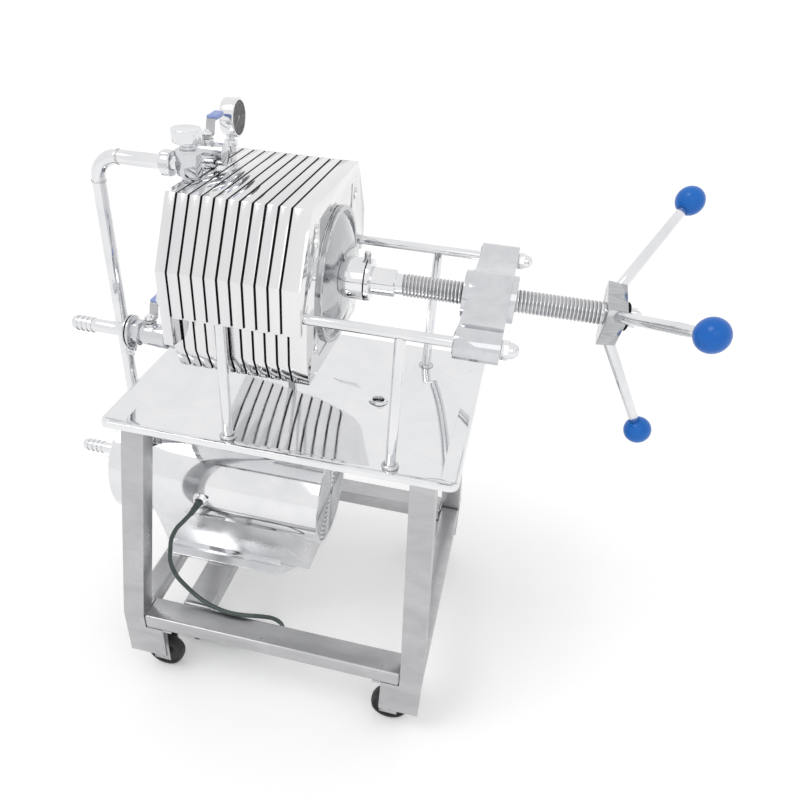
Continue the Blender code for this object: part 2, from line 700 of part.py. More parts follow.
def plate_points(ear_bottom, slotted):
    """Outline of a plate seen along the press, anticlockwise, as (across, up)."""
    half = [(PLATE_BOTTOM_HALF, PLATE_BOTTOM), (BODY_HALF, SLANT_TOP)]
    if slotted:
        arch = arc((RAIL_SPREAD, RAIL_HEIGHT + RAIL_RADIUS + GAP - SLOT_RADIUS), SLOT_RADIUS, math.pi, 0, 8)
        half += arch
        half.append((RAIL_SPREAD + SLOT_RADIUS, ear_bottom))
    else:
        half.append((BODY_HALF, ear_bottom - FIXED_EAR_SLANT))
    half += [(PLATE_WIDE_HALF, ear_bottom), (PLATE_WIDE_HALF, PLATE_WIDE_Z), (PLATE_TOP_HALF, PLATE_TOP)]
    return half + [(-y, z) for y, z in reversed(half)]


def shrink(points, inset):
    """The outline moved inward by one inset along its corners' bisectors."""
    moved = []
    for index, point in enumerate(points):
        here = Vector(point)
        before = (here - Vector(points[index - 1])).normalized()
        after = (Vector(points[(index + 1) % len(points)]) - here).normalized()
        normal = Vector((-before.y - after.y, before.x + after.x)).normalized()
        spread = max(normal.dot(Vector((-before.y, before.x))), MITRE_SHARE)
        moved.append(tuple(here + normal * inset / spread))
    return moved


MITRE_SHARE = 0.5


def make_plate(shop, name, left, thickness, finish, ear_bottom, slotted, gasket):
    """A polished plate with its ports and filter recess; a gasket sheet on its left face."""
    points = plate_points(ear_bottom, slotted)
    body = thickness - (GASKET + GAP if gasket else GAP)
    start = left + (GASKET if gasket else 0)
    plate = shop.outline(name, points, body, (start + body / 2, 0, 0), "YZ", finish)
    if not slotted:
        for side in (-1, 1):
            cut(plate, shop.rod(f"{name}_hole_{side + 1}", RAIL_RADIUS + GAP, 2 * PITCH,
                                (FIXED_CENTRE, side * RAIL_SPREAD, RAIL_HEIGHT), "X", tool=True, segments=24))
    middle_z = (RECESS_LOW_Z + RECESS_HIGH_Z) / 2
    window_z = RECESS_HIGH_Z - RECESS_LOW_Z
    if gasket:
        seal = shop.outline(name + "_gasket", shrink(points, GASKET_INSET), GASKET + SINK,
                            (left + (GASKET + SINK) / 2, 0, 0), "YZ", tool=True)
        window = shop.block(name + "_window", (2 * GASKET, 2 * RECESS_HALF_Y, window_z), (left, 0, middle_z), tool=True)
        cut(seal, window)
        fuse(plate, seal)
    ports = [(side * PORT_Y, height) for side in (-1, 1) for height in (PORT_LOW_Z, PORT_HIGH_Z)]
    if slotted:
        for index, (across, height) in enumerate(ports):
            cut(plate, shop.rod(f"{name}_port_{index}", PORT_RADIUS, 2 * thickness, (left + thickness / 2, across, height),
                                "X", tool=True, segments=12))
        cut(plate, shop.block(name + "_recess", (2 * RECESS_DEPTH, 2 * RECESS_HALF_Y, window_z),
                              (left + thickness - GAP, 0, middle_z), tool=True))
    return plate


def make_pack(shop):
    """Fixed end plate, the row of filter plates and the clamp plate with its dome and collar."""
    make_plate(shop, "fixed_plate", PACK_LEFT, PITCH - GASKET, "mirror_steel", FIXED_EAR_BOTTOM, False, False)
    first = PACK_LEFT + PITCH - GASKET
    sample = make_plate(shop, "plate_sample", first, PITCH, "mirror_steel", EAR_BOTTOM, True, True)
    mesh = shop.baked(sample)
    bpy.data.objects.remove(sample, do_unlink=True)
    place = first + GASKET + (PITCH - GASKET - GAP) / 2
    for index in range(FILTER_PLATES):
        shop.add(f"filter_plate_{index + 1}", mesh, "mirror_steel", (place + index * PITCH, 0, 0),
                 (QUARTER, 0, QUARTER))
    make_clamp(shop, PACK_RIGHT - GASKET)


def make_clamp(shop, left):
    """Clamp plate with a turned dome and the collar that holds the screw's end."""
    clamp = make_plate(shop, "clamp_plate", left, CLAMP_RIGHT - left, "mirror_steel", EAR_BOTTOM, True, True)
    crown = CLAMP_RIGHT + DOME_RISE
    inner = DOME_RIM - DOME_LIP_WIDTH
    base = CLAMP_RIGHT - DOME_LIP
    profile = [(0, crown + COLLAR_LENGTH), (COLLAR_RADIUS - PLATE_EDGE, crown + COLLAR_LENGTH),
               (COLLAR_RADIUS, crown + COLLAR_LENGTH - PLATE_EDGE), (COLLAR_RADIUS, crown)]
    for step in range(1, 7):
        share = step / 6
        profile.append((COLLAR_RADIUS + (inner - COLLAR_RADIUS) * share,
                        CLAMP_RIGHT + DOME_RISE * math.cos(QUARTER * share)))
    profile += [(inner, CLAMP_RIGHT + DOME_LIP), (DOME_RIM, CLAMP_RIGHT + DOME_LIP), (DOME_RIM, base), (0, base)]
    dome = shop.turned("clamp_dome", profile, (0, 0, SCREW_Z), "X", tool=True, steps=FINE_STEPS)
    bore = shop.rod("collar_bore", SHAFT_RADIUS + GAP, COLLAR_LENGTH, (COLLAR_RIGHT + COLLAR_WALL - COLLAR_LENGTH / 2, 0, SCREW_Z),
                    "X", tool=True, segments=FINE_STEPS)
    pin = shop.rod("collar_pin", AXLE_RADIUS, COLLAR_RADIUS - SHAFT_RADIUS + COLLAR_WALL,
                   (COLLAR_RIGHT - COLLAR_WALL, 0, SCREW_Z + (COLLAR_RADIUS + SHAFT_RADIUS + COLLAR_WALL) / 2 + OVERRUN),
                   "Z", tool=True, segments=14)
    fuse(clamp, dome, pin)
    cut(clamp, bore)


def make_screw(shop):
    """Screw with its smooth shaft, the three-armed hand star and its ball knobs."""
    start = COLLAR_RIGHT + COLLAR_WALL - COLLAR_LENGTH + GAP
    neck = SHAFT_RIGHT + NECK_LENGTH
    hub_left = HUB_X - GAP
    end = HUB_RIGHT + GAP
    profile = [(0, end + CAP_LENGTH), (CAP_RADIUS - PLATE_EDGE, end + CAP_LENGTH), (CAP_RADIUS, end + CAP_LENGTH - PLATE_EDGE),
               (CAP_RADIUS, end), (JOURNAL_RADIUS, end), (JOURNAL_RADIUS, hub_left), (THREAD_RADIUS, hub_left),
               (THREAD_RADIUS, neck), (NECK_RADIUS, neck), (NECK_RADIUS, SHAFT_RIGHT), (SHAFT_RADIUS, SHAFT_RIGHT),
               (SHAFT_RADIUS, start), (0, start)]
    shop.turned("screw", profile, (0, 0, SCREW_Z), "X", "satin_steel", steps=STEPS)
    bore = JOURNAL_RADIUS + GAP
    hub_profile = [(HUB_RADIUS - SINK, HUB_RIGHT), (HUB_RADIUS, HUB_RIGHT - SINK), (HUB_RADIUS, HUB_X + SINK),
                   (HUB_RADIUS - SINK, HUB_X), (bore, HUB_X), (bore, HUB_RIGHT)]
    star = shop.turned("hand_star", hub_profile, (0, 0, SCREW_Z), "X", "mirror_steel", closed=True)
    root_x = HUB_X + HUB_LENGTH / 2
    root = (HUB_RADIUS + bore) / 2
    for index in range(3):
        angle = ARM_ANGLE + index * TURN / 3
        outward = Vector((0, math.cos(angle), math.sin(angle)))
        start_at = Vector((root_x, 0, SCREW_Z)) + outward * root
        ball = Vector((KNOB_X, 0, SCREW_Z)) + outward * ARM_REACH
        along = (ball - start_at).normalized()
        seat = ball - along * (KNOB_RADIUS - KNOB_NECK + GAP)
        length = (seat - start_at).length
        arm = shop.rod(f"arm_{index + 1}", ARM_RADIUS, length, (start_at + seat) / 2, "Z", tool=True,
                       segments=16, tip=ARM_TIP_RADIUS)
        arm.rotation_euler = along.to_track_quat("Z", "Y").to_euler()
        fuse(star, arm)
        make_knob(shop, f"knob_{index + 1}", ball, along)


def make_knob(shop, name, centre, along):
    """Round ball knob with the flat socket face that the arm screws into."""
    work = bmesh.new()
    bmesh.ops.create_uvsphere(work, u_segments=18, v_segments=10, radius=KNOB_RADIUS)
    mesh = bpy.data.meshes.new(name)
    work.to_mesh(mesh)
    work.free()
    knob = shop.add(name, smooth(mesh), "knob_blue", centre, along.to_track_quat("Z", "Y").to_euler())
    socket = shop.rod(name + "_socket", ARM_TIP_RADIUS + GAP, KNOB_RADIUS + KNOB_NECK,
                      centre - along * (KNOB_RADIUS - KNOB_NECK + (KNOB_RADIUS + KNOB_NECK) / 2), "Z",
                      tool=True, segments=20)
    socket.rotation_euler = along.to_track_quat("Z", "Y").to_euler()
    cut(knob, socket)


def barbed(profile_end, start, end, radius, count):
    """Hose barb steps from start down to end, as a profile along the axis."""
    points = []
    for index in range(count):
        tip = start + (end - start) * index / count
        foot = start + (end - start) * (index + 1) / count
        points += [(radius + BARB_RISE, tip), (radius, foot)]
    return points + profile_end


def make_pump(shop):
    """Round pump head with its cover and hose inlet."""
    right = PUMP_LEFT + PUMP_LENGTH
    cover = PUMP_LEFT + PUMP_COVER
    barb_end = INLET_LEFT + BARBS * BARB_PITCH
    step = PUMP_STEP
    profile = [(0, right), (PUMP_RADIUS - step, right), (PUMP_RADIUS - step, cover + PUMP_JOINT), (PUMP_RADIUS - 2 * step, cover + PUMP_JOINT),
               (PUMP_RADIUS - 2 * step, cover), (PUMP_RADIUS, cover), (PUMP_RADIUS, PUMP_LEFT + step),
               (PUMP_RADIUS - step, PUMP_LEFT), (INLET_NUT, PUMP_LEFT), (INLET_NUT, PUMP_LEFT - INLET_NUT_LENGTH),
               (INLET_RADIUS, PUMP_LEFT - INLET_NUT_LENGTH), (INLET_RADIUS, barb_end)]
    profile += barbed([(INLET_BORE, INLET_LEFT), (INLET_BORE, PUMP_LEFT + SINK), (0, PUMP_LEFT + SINK)],
                      barb_end, INLET_LEFT, INLET_RADIUS, BARBS)
    pump = shop.turned("pump", profile, (0, 0, PUMP_Z), "X", "mirror_steel", steps=FINE_STEPS)
    cut_z = PUMP_Z + math.sqrt((PUMP_RADIUS - step) ** 2 - PIPE_Y ** 2)
    shop_boss = shop.rod("pump_outlet", PIPE_NUT, 2 * PIPE_NUT_LENGTH, (PIPE_X, PIPE_Y, cut_z), "Z", tool=True,
                         segments=6)
    fuse(pump, shop_boss)
    return cut_z + PIPE_NUT_LENGTH


def make_motor(shop):
    """Motor shroud: a cylinder that comes down to a base plate, with the fan end recessed."""
    length = MOTOR_RIGHT - MOTOR_LEFT
    shroud = shop.rod("motor_shroud", MOTOR_RADIUS, length, (MOTOR_LEFT + length / 2, 0, PUMP_Z), "X",
                      "mirror_steel", segments=48)
    base_low = LOW_RAIL_TOP + GAP
    base_top = base_low + BASE_SHEET
    neck_drop = math.sqrt(MOTOR_RADIUS ** 2 - MOTOR_NECK ** 2)
    wide = MOTOR_NECK + BASE_SHEET
    neck_points = [(-MOTOR_NECK, PUMP_Z - neck_drop + SINK), (-wide, base_top - SINK), (wide, base_top - SINK),
                   (MOTOR_NECK, PUMP_Z - neck_drop + SINK)]
    neck_length = BASE_RIGHT - BASE_CHAMFER - BASE_LEFT
    neck = shop.outline("motor_neck", neck_points, neck_length, (BASE_LEFT + neck_length / 2, 0, 0), "YZ", tool=True)
    plate_points_xy = [(BASE_LEFT, -BASE_HALF), (BASE_RIGHT - BASE_CHAMFER, -BASE_HALF), (BASE_RIGHT, -BASE_HALF + BASE_CHAMFER),
                       (BASE_RIGHT, BASE_HALF - BASE_CHAMFER), (BASE_RIGHT - BASE_CHAMFER, BASE_HALF), (BASE_LEFT, BASE_HALF)]
    base = shop.outline("motor_base", plate_points_xy, BASE_SHEET, (0, 0, base_low + BASE_SHEET / 2), "XY", tool=True)
    fan = shop.rod("motor_fan_recess", MOTOR_RADIUS - 2 * PUMP_STEP, 2 * MOTOR_LOUVRE_RECESS, (MOTOR_RIGHT, 0, PUMP_Z),
                   "X", tool=True, segments=48)
    fuse(shroud, neck, base)
    cut(shroud, fan)
    shop.turned("cable_gland", [(GLAND_RADIUS - SINK, GLAND_LENGTH), (GLAND_RADIUS, GLAND_LENGTH - SINK), (GLAND_RADIUS, GAP),
                                (CORD_RADIUS, GAP), (CORD_RADIUS, GLAND_LENGTH)],
                (GLAND_X, -MOTOR_RADIUS, GLAND_Z), "-Y", "mirror_steel", steps=SMALL_STEPS, closed=True)


def bend_points(corner, before, after, radius, count=7):
    """Points of a round bend between two straight runs that meet at a corner."""
    into = (Vector(corner) - Vector(before)).normalized()
    out = (Vector(after) - Vector(corner)).normalized()
    centre = Vector(corner) - into * radius + out * radius
    points = []
    for step in range(count + 1):
        angle = QUARTER * step / count
        points.append(centre - out * radius * math.cos(angle) + into * radius * math.sin(angle))
    return points


def make_discharge(shop, pipe_foot):
    """Pipe from the pump up beside the tray and over to the vent valve."""
    corner = (PIPE_X, PIPE_Y, PIPE_RUN_Z)
    low = (PIPE_X, PIPE_Y, pipe_foot + GAP)
    end = (FIXED_CENTRE - VENT_BODY - GAP, PIPE_Y, PIPE_RUN_Z)
    points = [Vector(low)] + bend_points(corner, low, end, PIPE_BEND) + [Vector(end)]
    pipe = shop.tube("discharge_pipe", points, PIPE_RADIUS, "mirror_steel")
    nut = shop.rod("pipe_nut", PIPE_NUT, PIPE_NUT_LENGTH, (end[0] - PIPE_NUT_LENGTH, PIPE_Y, PIPE_RUN_Z), "X", tool=True,
                   segments=12)
    fuse(pipe, nut)


def make_vent(shop):
    """Upright vent valve on the fixed plate, with its round hand knob."""
    foot = PLATE_TOP + GAP
    low = PIPE_RUN_Z - VENT_HEIGHT / 2 + OVERRUN
    top = low + VENT_HEIGHT
    profile = [(0, top + VENT_STEM_RISE), (VENT_STEM - SINK, top + VENT_STEM_RISE), (VENT_STEM - SINK, top + VENT_STEM_RISE / 2),
               (VENT_STEM, top + VENT_STEM_RISE / 2), (VENT_STEM, top),
               (VENT_BODY - SINK, top), (VENT_BODY, top - SINK), (VENT_BODY, low + SINK), (VENT_BODY - SINK, low),
               (NIPPLE_RADIUS, low), (NIPPLE_RADIUS, foot), (0, foot)]
    shop.turned("vent_valve", profile, (FIXED_CENTRE, PIPE_Y, 0), "Z", "cast_steel", steps=SMALL_STEPS)
    under = top + VENT_STEM_RISE / 2 + GAP
    over = under + VENT_KNOB_THICK
    bore = VENT_STEM - SINK + GAP
    roof = top + VENT_STEM_RISE + GAP
    knob = [(0, over), (VENT_KNOB - SINK, over), (VENT_KNOB, over - SINK), (VENT_KNOB, under + SINK),
            (VENT_KNOB - SINK, under), (bore, under), (bore, roof), (0, roof)]
    shop.turned("vent_knob", knob, (FIXED_CENTRE, PIPE_Y, 0), "Z", "mirror_steel", steps=SMALL_STEPS)


def make_ball_valve(shop, name, centre, nipple_low):
    """Ball valve lying along the press, with a hexagon at each end and its upright bonnet."""
    x, y, z = centre
    half = VALVE_LENGTH / 2
    edge = half - VALVE_HEX_LENGTH
    profile = [(VALVE_HEX, half), (VALVE_HEX, edge), (VALVE_BODY, edge - SINK), (VALVE_BODY, SINK - edge), (VALVE_HEX, -edge),
               (VALVE_HEX, -half), (VALVE_BORE, -half), (VALVE_BORE, SINK - edge), (0, SINK - edge)]
    solid = [(0, half - VALVE_HEX_LENGTH)] + [(VALVE_BORE, edge - SINK), (VALVE_BORE, half)] + profile
    solid[0] = (0, edge - SINK)
    body = shop.turned(name, solid, centre, "X", "cast_steel", steps=SMALL_STEPS)
    bonnet = shop.rod(name + "_bonnet", BONNET_RADIUS, BONNET_RISE, (x, y, z + BONNET_RISE / 2), "Z", tool=True, segments=6)
    stem_top = z + BONNET_RISE + VALVE_STEM_RISE
    stem = shop.rod(name + "_stem", VALVE_STEM, VALVE_STEM_RISE + BONNET_RISE / 2,
                    (x, y, stem_top - (VALVE_STEM_RISE + BONNET_RISE / 2) / 2), "Z", tool=True, segments=12)
    fuse(body, bonnet, stem)
    if nipple_low is not None:
        fuse(body, shop.rod(name + "_nipple", NIPPLE_RADIUS, z - nipple_low, (x, y, (z + nipple_low) / 2), "Z", tool=True,
                            segments=16))
    return body


def make_lever(shop, name, centre, heading):
    """Flat lever on the bonnet that steps up to a sleeved grip; it turns about its stem."""
    x, y, z = centre
    low = z + BONNET_RISE + GAP
    sheet = LEVER_SHEET
    run = LEVER_LENGTH
    rise = LEVER_RISE
    start = LEVER_HOLD
    grip = run - GRIP_LENGTH
    thick = (GRIP_SHEET - sheet) / 2
    side = [(-start, 0), (start, 0), (start + sheet, 0), (grip, rise - sheet), (grip, rise - sheet - thick),
            (run, rise - sheet - thick + OVERRUN), (run, rise + thick + OVERRUN), (grip, rise + thick), (grip, rise),
            (start, sheet), (-start, sheet)]
    lever = shop.outline(name, side, LEVER_WIDTH, (x, y, low), "XZ", "satin_steel")
    lever.rotation_euler = (QUARTER, 0, heading)
    hole = shop.rod(name + "_hole", VALVE_STEM + GAP, 2 * LEVER_HOLD, (x, y, low), "Z", tool=True, segments=12)
    cut(lever, hole)


def make_fittings(shop):
    """Upper ball valve, pressure gauge and the lower outlet with its valve and hose tail."""
    upper = (FIXED_CENTRE, UPPER_VALVE_Y, UPPER_VALVE_Z)
    make_ball_valve(shop, "upper_valve", upper, PLATE_TOP + GAP)
    make_lever(shop, "upper_lever", upper, QUARTER)
    neck_top = PLATE_TOP + GAP + GAUGE_NECK + SINK
    case_z = PLATE_TOP + GAP + GAUGE_NECK + GAUGE_RADIUS
    back = FIXED_CENTRE - GAUGE_NECK_RADIUS
    front = back + GAUGE_DEPTH
    profile = [(0, front - GAUGE_RIM), (GAUGE_RADIUS - GAUGE_RIM, front - GAUGE_RIM), (GAUGE_RADIUS - GAUGE_RIM, front),
               (GAUGE_RADIUS, front - SINK), (GAUGE_RADIUS, back + GAUGE_RIM), (GAUGE_RADIUS - GAUGE_RIM, back), (0, back)]
    gauge = shop.turned("gauge", profile, (0, GAUGE_Y, case_z), "X", "mirror_steel", steps=STEPS)
    neck = shop.rod("gauge_neck", GAUGE_NECK_RADIUS, neck_top - PLATE_TOP - GAP,
                    (FIXED_CENTRE, GAUGE_Y, (neck_top + PLATE_TOP + GAP) / 2), "Z", tool=True, segments=16)
    fuse(gauge, neck)
    lower = (OUTLET_VALVE_X, OUTLET_Y, OUTLET_Z)
    make_ball_valve(shop, "outlet_valve", lower, None)
    make_lever(shop, "outlet_lever", lower, QUARTER)
    valve_left = OUTLET_VALVE_X - VALVE_LENGTH / 2 - GAP
    barb_start = OUTLET_END + OUTLET_BARB_STRETCH
    tail = [(0, valve_left), (VALVE_HEX, valve_left), (OUTLET_NUT, valve_left - SINK), (OUTLET_NUT, valve_left - VALVE_HEX_LENGTH),
            (OUTLET_TUBE, valve_left - VALVE_HEX_LENGTH), (OUTLET_TUBE, barb_start)]
    tail += barbed([(INLET_BORE, OUTLET_END), (INLET_BORE, barb_start), (0, barb_start)],
                   barb_start, OUTLET_END, OUTLET_TUBE, BARBS)
    shop.turned("outlet_tail", tail, (0, OUTLET_Y, OUTLET_Z), "X", "mirror_steel", steps=SMALL_STEPS)
    valve_right = OUTLET_VALVE_X + VALVE_LENGTH / 2 + GAP
    plate_left = PACK_LEFT - GAP
    flange = [(0, plate_left), (VALVE_HEX, plate_left), (VALVE_HEX, (plate_left + valve_right) / 2),
              (VALVE_HEX - SINK, (plate_left + valve_right) / 2), (VALVE_HEX - SINK, valve_right), (0, valve_right)]
    shop.turned("outlet_flange", flange, (0, OUTLET_Y, OUTLET_Z), "X", "mirror_steel", steps=SMALL_STEPS)


def smooth_route(points, count):
    """Even points on a Catmull-Rom curve through the route."""
    knots = [Vector(point) for point in points]
    knots = [2 * knots[0] - knots[1]] + knots + [2 * knots[-1] - knots[-2]]
    fine = []
    for index in range(1, len(knots) - 2):
        a, b, c, d = knots[index - 1:index + 3]
        for step in range(24):
            t = step / 24
            fine.append(0.5 * ((2 * b) + (c - a) * t + (2 * a - 5 * b + 4 * c - d) * t ** 2
                               + (3 * b - a - 3 * c + d) * t ** 3))
    fine.append(knots[-2])
    lengths = [0]
    for first, second in zip(fine, fine[1:]):
        lengths.append(lengths[-1] + (second - first).length)
    even = []
    place = 0
    for step in range(count + 1):
        target = lengths[-1] * step / count
        while place < len(fine) - 2 and lengths[place + 1] < target:
            place += 1
        share = (target - lengths[place]) / (lengths[place + 1] - lengths[place])
        even.append(fine[place].lerp(fine[place + 1], min(share, 1)))
    return even


CORD_ROUTE = (
    (-0.163, -0.1006, 0.305), (-0.1638, -0.1123, 0.3039), (-0.1669, -0.1221, 0.2998), (-0.1718, -0.1296, 0.2947),
    (-0.1777, -0.1352, 0.2879), (-0.1870, -0.1403, 0.2763), (-0.1952, -0.1471, 0.2565), (-0.1995, -0.1482, 0.2317),
    (-0.2000, -0.1528, 0.2074), (-0.1886, -0.1587, 0.1832), (-0.164, -0.167, 0.1665), (-0.136, -0.1755, 0.1555),
    (-0.106, -0.182, 0.1510), (-0.080, -0.1845, 0.1502), (-0.055, -0.1820, 0.1500), (-0.033, -0.1735, 0.1450),
    (-0.0155, -0.1615, 0.1320), (-0.0055, -0.1510, 0.1110), (-0.0050, -0.1430, 0.0870), (-0.0130, -0.1390, 0.0630),
    (-0.0290, -0.1380, 0.0425), (-0.0510, -0.1380, 0.0285), (-0.0740, -0.1380, 0.0215), (-0.0920, -0.1380, 0.0198),
)


def make_cord(shop):
    """Power cord from the gland over the lower rail, its hank and its plug on the floor."""
    shop.tube("power_cord", smooth_route(CORD_ROUTE, CORD_SEGMENTS), CORD_RADIUS, "cord_green", resolution=2)
    straight = HANK_LENGTH / 2 - HANK_WIDTH / 2
    ring = arc((straight, 0), HANK_WIDTH / 2, -QUARTER, QUARTER, 8)
    ring += arc((-straight, 0), HANK_WIDTH / 2, QUARTER, 3 * QUARTER, 8)
    hank = shop.outline("cord_hank", ring, HANK_HEIGHT, (HANK_X, HANK_Y, HANK_HEIGHT / 2), "XY", "cord_green")
    soften(hank, CORD_RADIUS)
    left = HANK_X - HANK_LENGTH / 2 - GAP + PLUG_TUCK
    plug = shop.block("cord_plug", (PLUG_LENGTH, PLUG_WIDTH, PLUG_HEIGHT), (left - PLUG_LENGTH / 2, HANK_Y + PLUG_OFFSET, PLUG_HEIGHT / 2),
                      "tyre_black", edge=CORD_RADIUS)
    for index, across in enumerate((-PIN_SPREAD, PIN_SPREAD)):
        fuse(plug, shop.block(f"plug_pin_{index}", (2 * PIN_LENGTH, PIN_SHEET, PIN_WIDTH),
                              (left - PLUG_LENGTH, HANK_Y + PLUG_OFFSET + across, PLUG_HEIGHT / 2), tool=True))


def main():
    """Build the whole press."""
    clear_scene()
    shop = Workshop()
    make_tray(shop)
    make_frame(shop)
    make_rails(shop)
    make_crosshead(shop)
    make_pack(shop)
    make_screw(shop)
    pipe_foot = make_pump(shop)
    make_motor(shop)
    make_discharge(shop, pipe_foot)
    make_vent(shop)
    make_fittings(shop)
    make_cord(shop)
    bpy.context.view_layer.update()


if __name__ == "__main__":
    main()
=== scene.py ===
"""Dressed scene of a stainless plate-and-frame filter press on its wheeled table.

Lengths are metres, +Z is up and +X runs from the pump and valves to the hand star.
"""

import logging
import math
from dataclasses import dataclass
from enum import Enum
from typing import Callable, Sequence

import bmesh
import bpy
from mathutils import Matrix, Vector


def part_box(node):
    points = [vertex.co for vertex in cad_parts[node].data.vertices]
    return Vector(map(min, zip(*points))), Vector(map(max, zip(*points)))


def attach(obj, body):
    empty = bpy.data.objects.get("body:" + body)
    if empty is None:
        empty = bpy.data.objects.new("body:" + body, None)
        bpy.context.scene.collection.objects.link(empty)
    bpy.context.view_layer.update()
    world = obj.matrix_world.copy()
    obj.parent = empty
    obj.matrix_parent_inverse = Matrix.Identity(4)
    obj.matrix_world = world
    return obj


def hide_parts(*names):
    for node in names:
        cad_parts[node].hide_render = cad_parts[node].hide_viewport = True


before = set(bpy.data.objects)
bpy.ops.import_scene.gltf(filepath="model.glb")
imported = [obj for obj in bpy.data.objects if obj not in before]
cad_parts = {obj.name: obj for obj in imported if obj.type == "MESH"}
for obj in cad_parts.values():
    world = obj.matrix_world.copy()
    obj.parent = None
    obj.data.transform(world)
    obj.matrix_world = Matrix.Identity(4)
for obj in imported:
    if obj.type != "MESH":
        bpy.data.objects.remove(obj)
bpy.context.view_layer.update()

LOG = logging.getLogger("filter_press")
TURN = 2 * math.pi
QUARTER = math.pi / 2
WELD = 0.00001
MACHINE_SHIFT = 0.0465

Point = Sequence[float]
Test = Callable[[Vector, Vector], bool]


def at(x: float, y: float, z: float) -> Vector:
    """World place of a point measured from the tray's middle."""
    return Vector((x - MACHINE_SHIFT, y, z))


class Axis(Enum):
    """A world axis that a round piece lies along."""

    X = (1.0, 0.0, 0.0)
    Y = (0.0, 1.0, 0.0)
    Z = (0.0, 0.0, 1.0)

    @property
    def vector(self) -> Vector:
        """The axis as a vector."""
        return Vector(self.value)

    @property
    def turn(self) -> tuple[float, float, float]:
        """Rotation that lays a primitive's +Z along the axis."""
        return {"X": (0.0, QUARTER, 0.0), "Y": (-QUARTER, 0.0, 0.0), "Z": (0.0, 0.0, 0.0)}[self.name]


class Finish(Enum):
    """The machine's finishes, with the record's slot that each belongs to."""

    MIRROR = ("mirror_steel", "mirror_steel")
    PLATE = ("plate_steel", "mirror_steel")
    TURNED = ("turned_steel", "mirror_steel")
    TRAY = ("tray_steel", "mirror_steel")
    LOUVRE = ("louvre_steel_painted_shade", "mirror_steel")
    SATIN = ("satin_steel", "satin_steel")
    CAST = ("cast_steel", "cast_steel")
    SHEET = ("sheet_steel", "mirror_steel")
    WELDED = ("weld_bead", "satin_steel")
    DARK = ("dark_seal_and_groove_shade", "tyre_black")
    KNOB = ("knob_blue", "knob_blue")
    SLEEVE = ("sleeve_blue", "sleeve_blue")
    TYRE = ("tyre_black", "tyre_black")
    CORD = ("cord_green", "cord_green")
    DIAL = ("dial_face", "tyre_black")
    MARKS = ("dial_marks", "satin_steel")
    GLASS = ("dial_glass", "mirror_steel")

    @property
    def slot(self) -> str:
        """The record's material slot."""
        return self.value[1]


class Board:
    """A node tree with short ways to place and join nodes."""

    def __init__(self, tree: bpy.types.NodeTree) -> None:
        """Keep the tree.

        Args:
            tree: The tree that receives the nodes.
        """
        self.tree = tree

    def put(self, kind: str, values: dict | None = None, **settings: object) -> bpy.types.Node:
        """Place a node.

        Args:
            kind: The node's type name.
            values: Socket values by name or index.
            **settings: Properties of the node.

        Returns:
            The new node.
        """
        node = self.tree.nodes.new(kind)
        for name, value in settings.items():
            setattr(node, name, value)
        for name, value in (values or {}).items():
            node.inputs[name].default_value = value
        return node

    def join(self, start: bpy.types.NodeSocket, end: bpy.types.NodeSocket) -> None:
        """Link two sockets."""
        self.tree.links.new(start, end)


class EffectGroups:
    """Shader node groups that several finishes share."""

    @staticmethod
    def steel_surface() -> bpy.types.NodeTree:
        """Grain, handling marks and slow waviness of a metal surface.

        Returns:
            The group, with Marks, Gloss and Height outputs.
        """
        found = bpy.data.node_groups.get("steel_surface")
        if found:
            return found
        tree = bpy.data.node_groups.new("steel_surface", "ShaderNodeTree")
        for name, kind in (("Vector", "NodeSocketVector"), ("Fineness", "NodeSocketFloat"),
                           ("Mark Size", "NodeSocketFloat"), ("Waviness", "NodeSocketFloat")):
            tree.interface.new_socket(name=name, in_out="INPUT", socket_type=kind)
        for name in ("Marks", "Gloss", "Height"):
            tree.interface.new_socket(name=name, in_out="OUTPUT", socket_type="NodeSocketFloat")
        board = Board(tree)
        entry = board.put("NodeGroupInput")
        exit_ = board.put("NodeGroupOutput")
        grain = board.put("ShaderNodeTexNoise", {"Detail": 4.0, "Roughness": 0.6})
        marks = board.put("ShaderNodeTexNoise", {"Detail": 5.0, "Roughness": 0.65, "Distortion": 0.6})
        slow = board.put("ShaderNodeTexNoise", {"Scale": 9.0, "Detail": 1.0})
        for node in (grain, marks, slow):
            board.join(entry.outputs["Vector"], node.inputs["Vector"])
        board.join(entry.outputs["Fineness"], grain.inputs["Scale"])
        board.join(entry.outputs["Mark Size"], marks.inputs["Scale"])
        shaped = board.put("ShaderNodeMapRange", {"From Min": 0.35, "From Max": 0.7})
        board.join(marks.outputs["Fac"], shaped.inputs["Value"])
        wave = board.put("ShaderNodeMath", operation="MULTIPLY")
        board.join(slow.outputs["Fac"], wave.inputs[0])
        board.join(entry.outputs["Waviness"], wave.inputs[1])
        height = board.put("ShaderNodeMath", operation="ADD")
        board.join(grain.outputs["Fac"], height.inputs[0])
        board.join(wave.outputs["Value"], height.inputs[1])
        board.join(shaped.outputs["Result"], exit_.inputs["Marks"])
        board.join(grain.outputs["Fac"], exit_.inputs["Gloss"])
        board.join(height.outputs["Value"], exit_.inputs["Height"])
        return tree


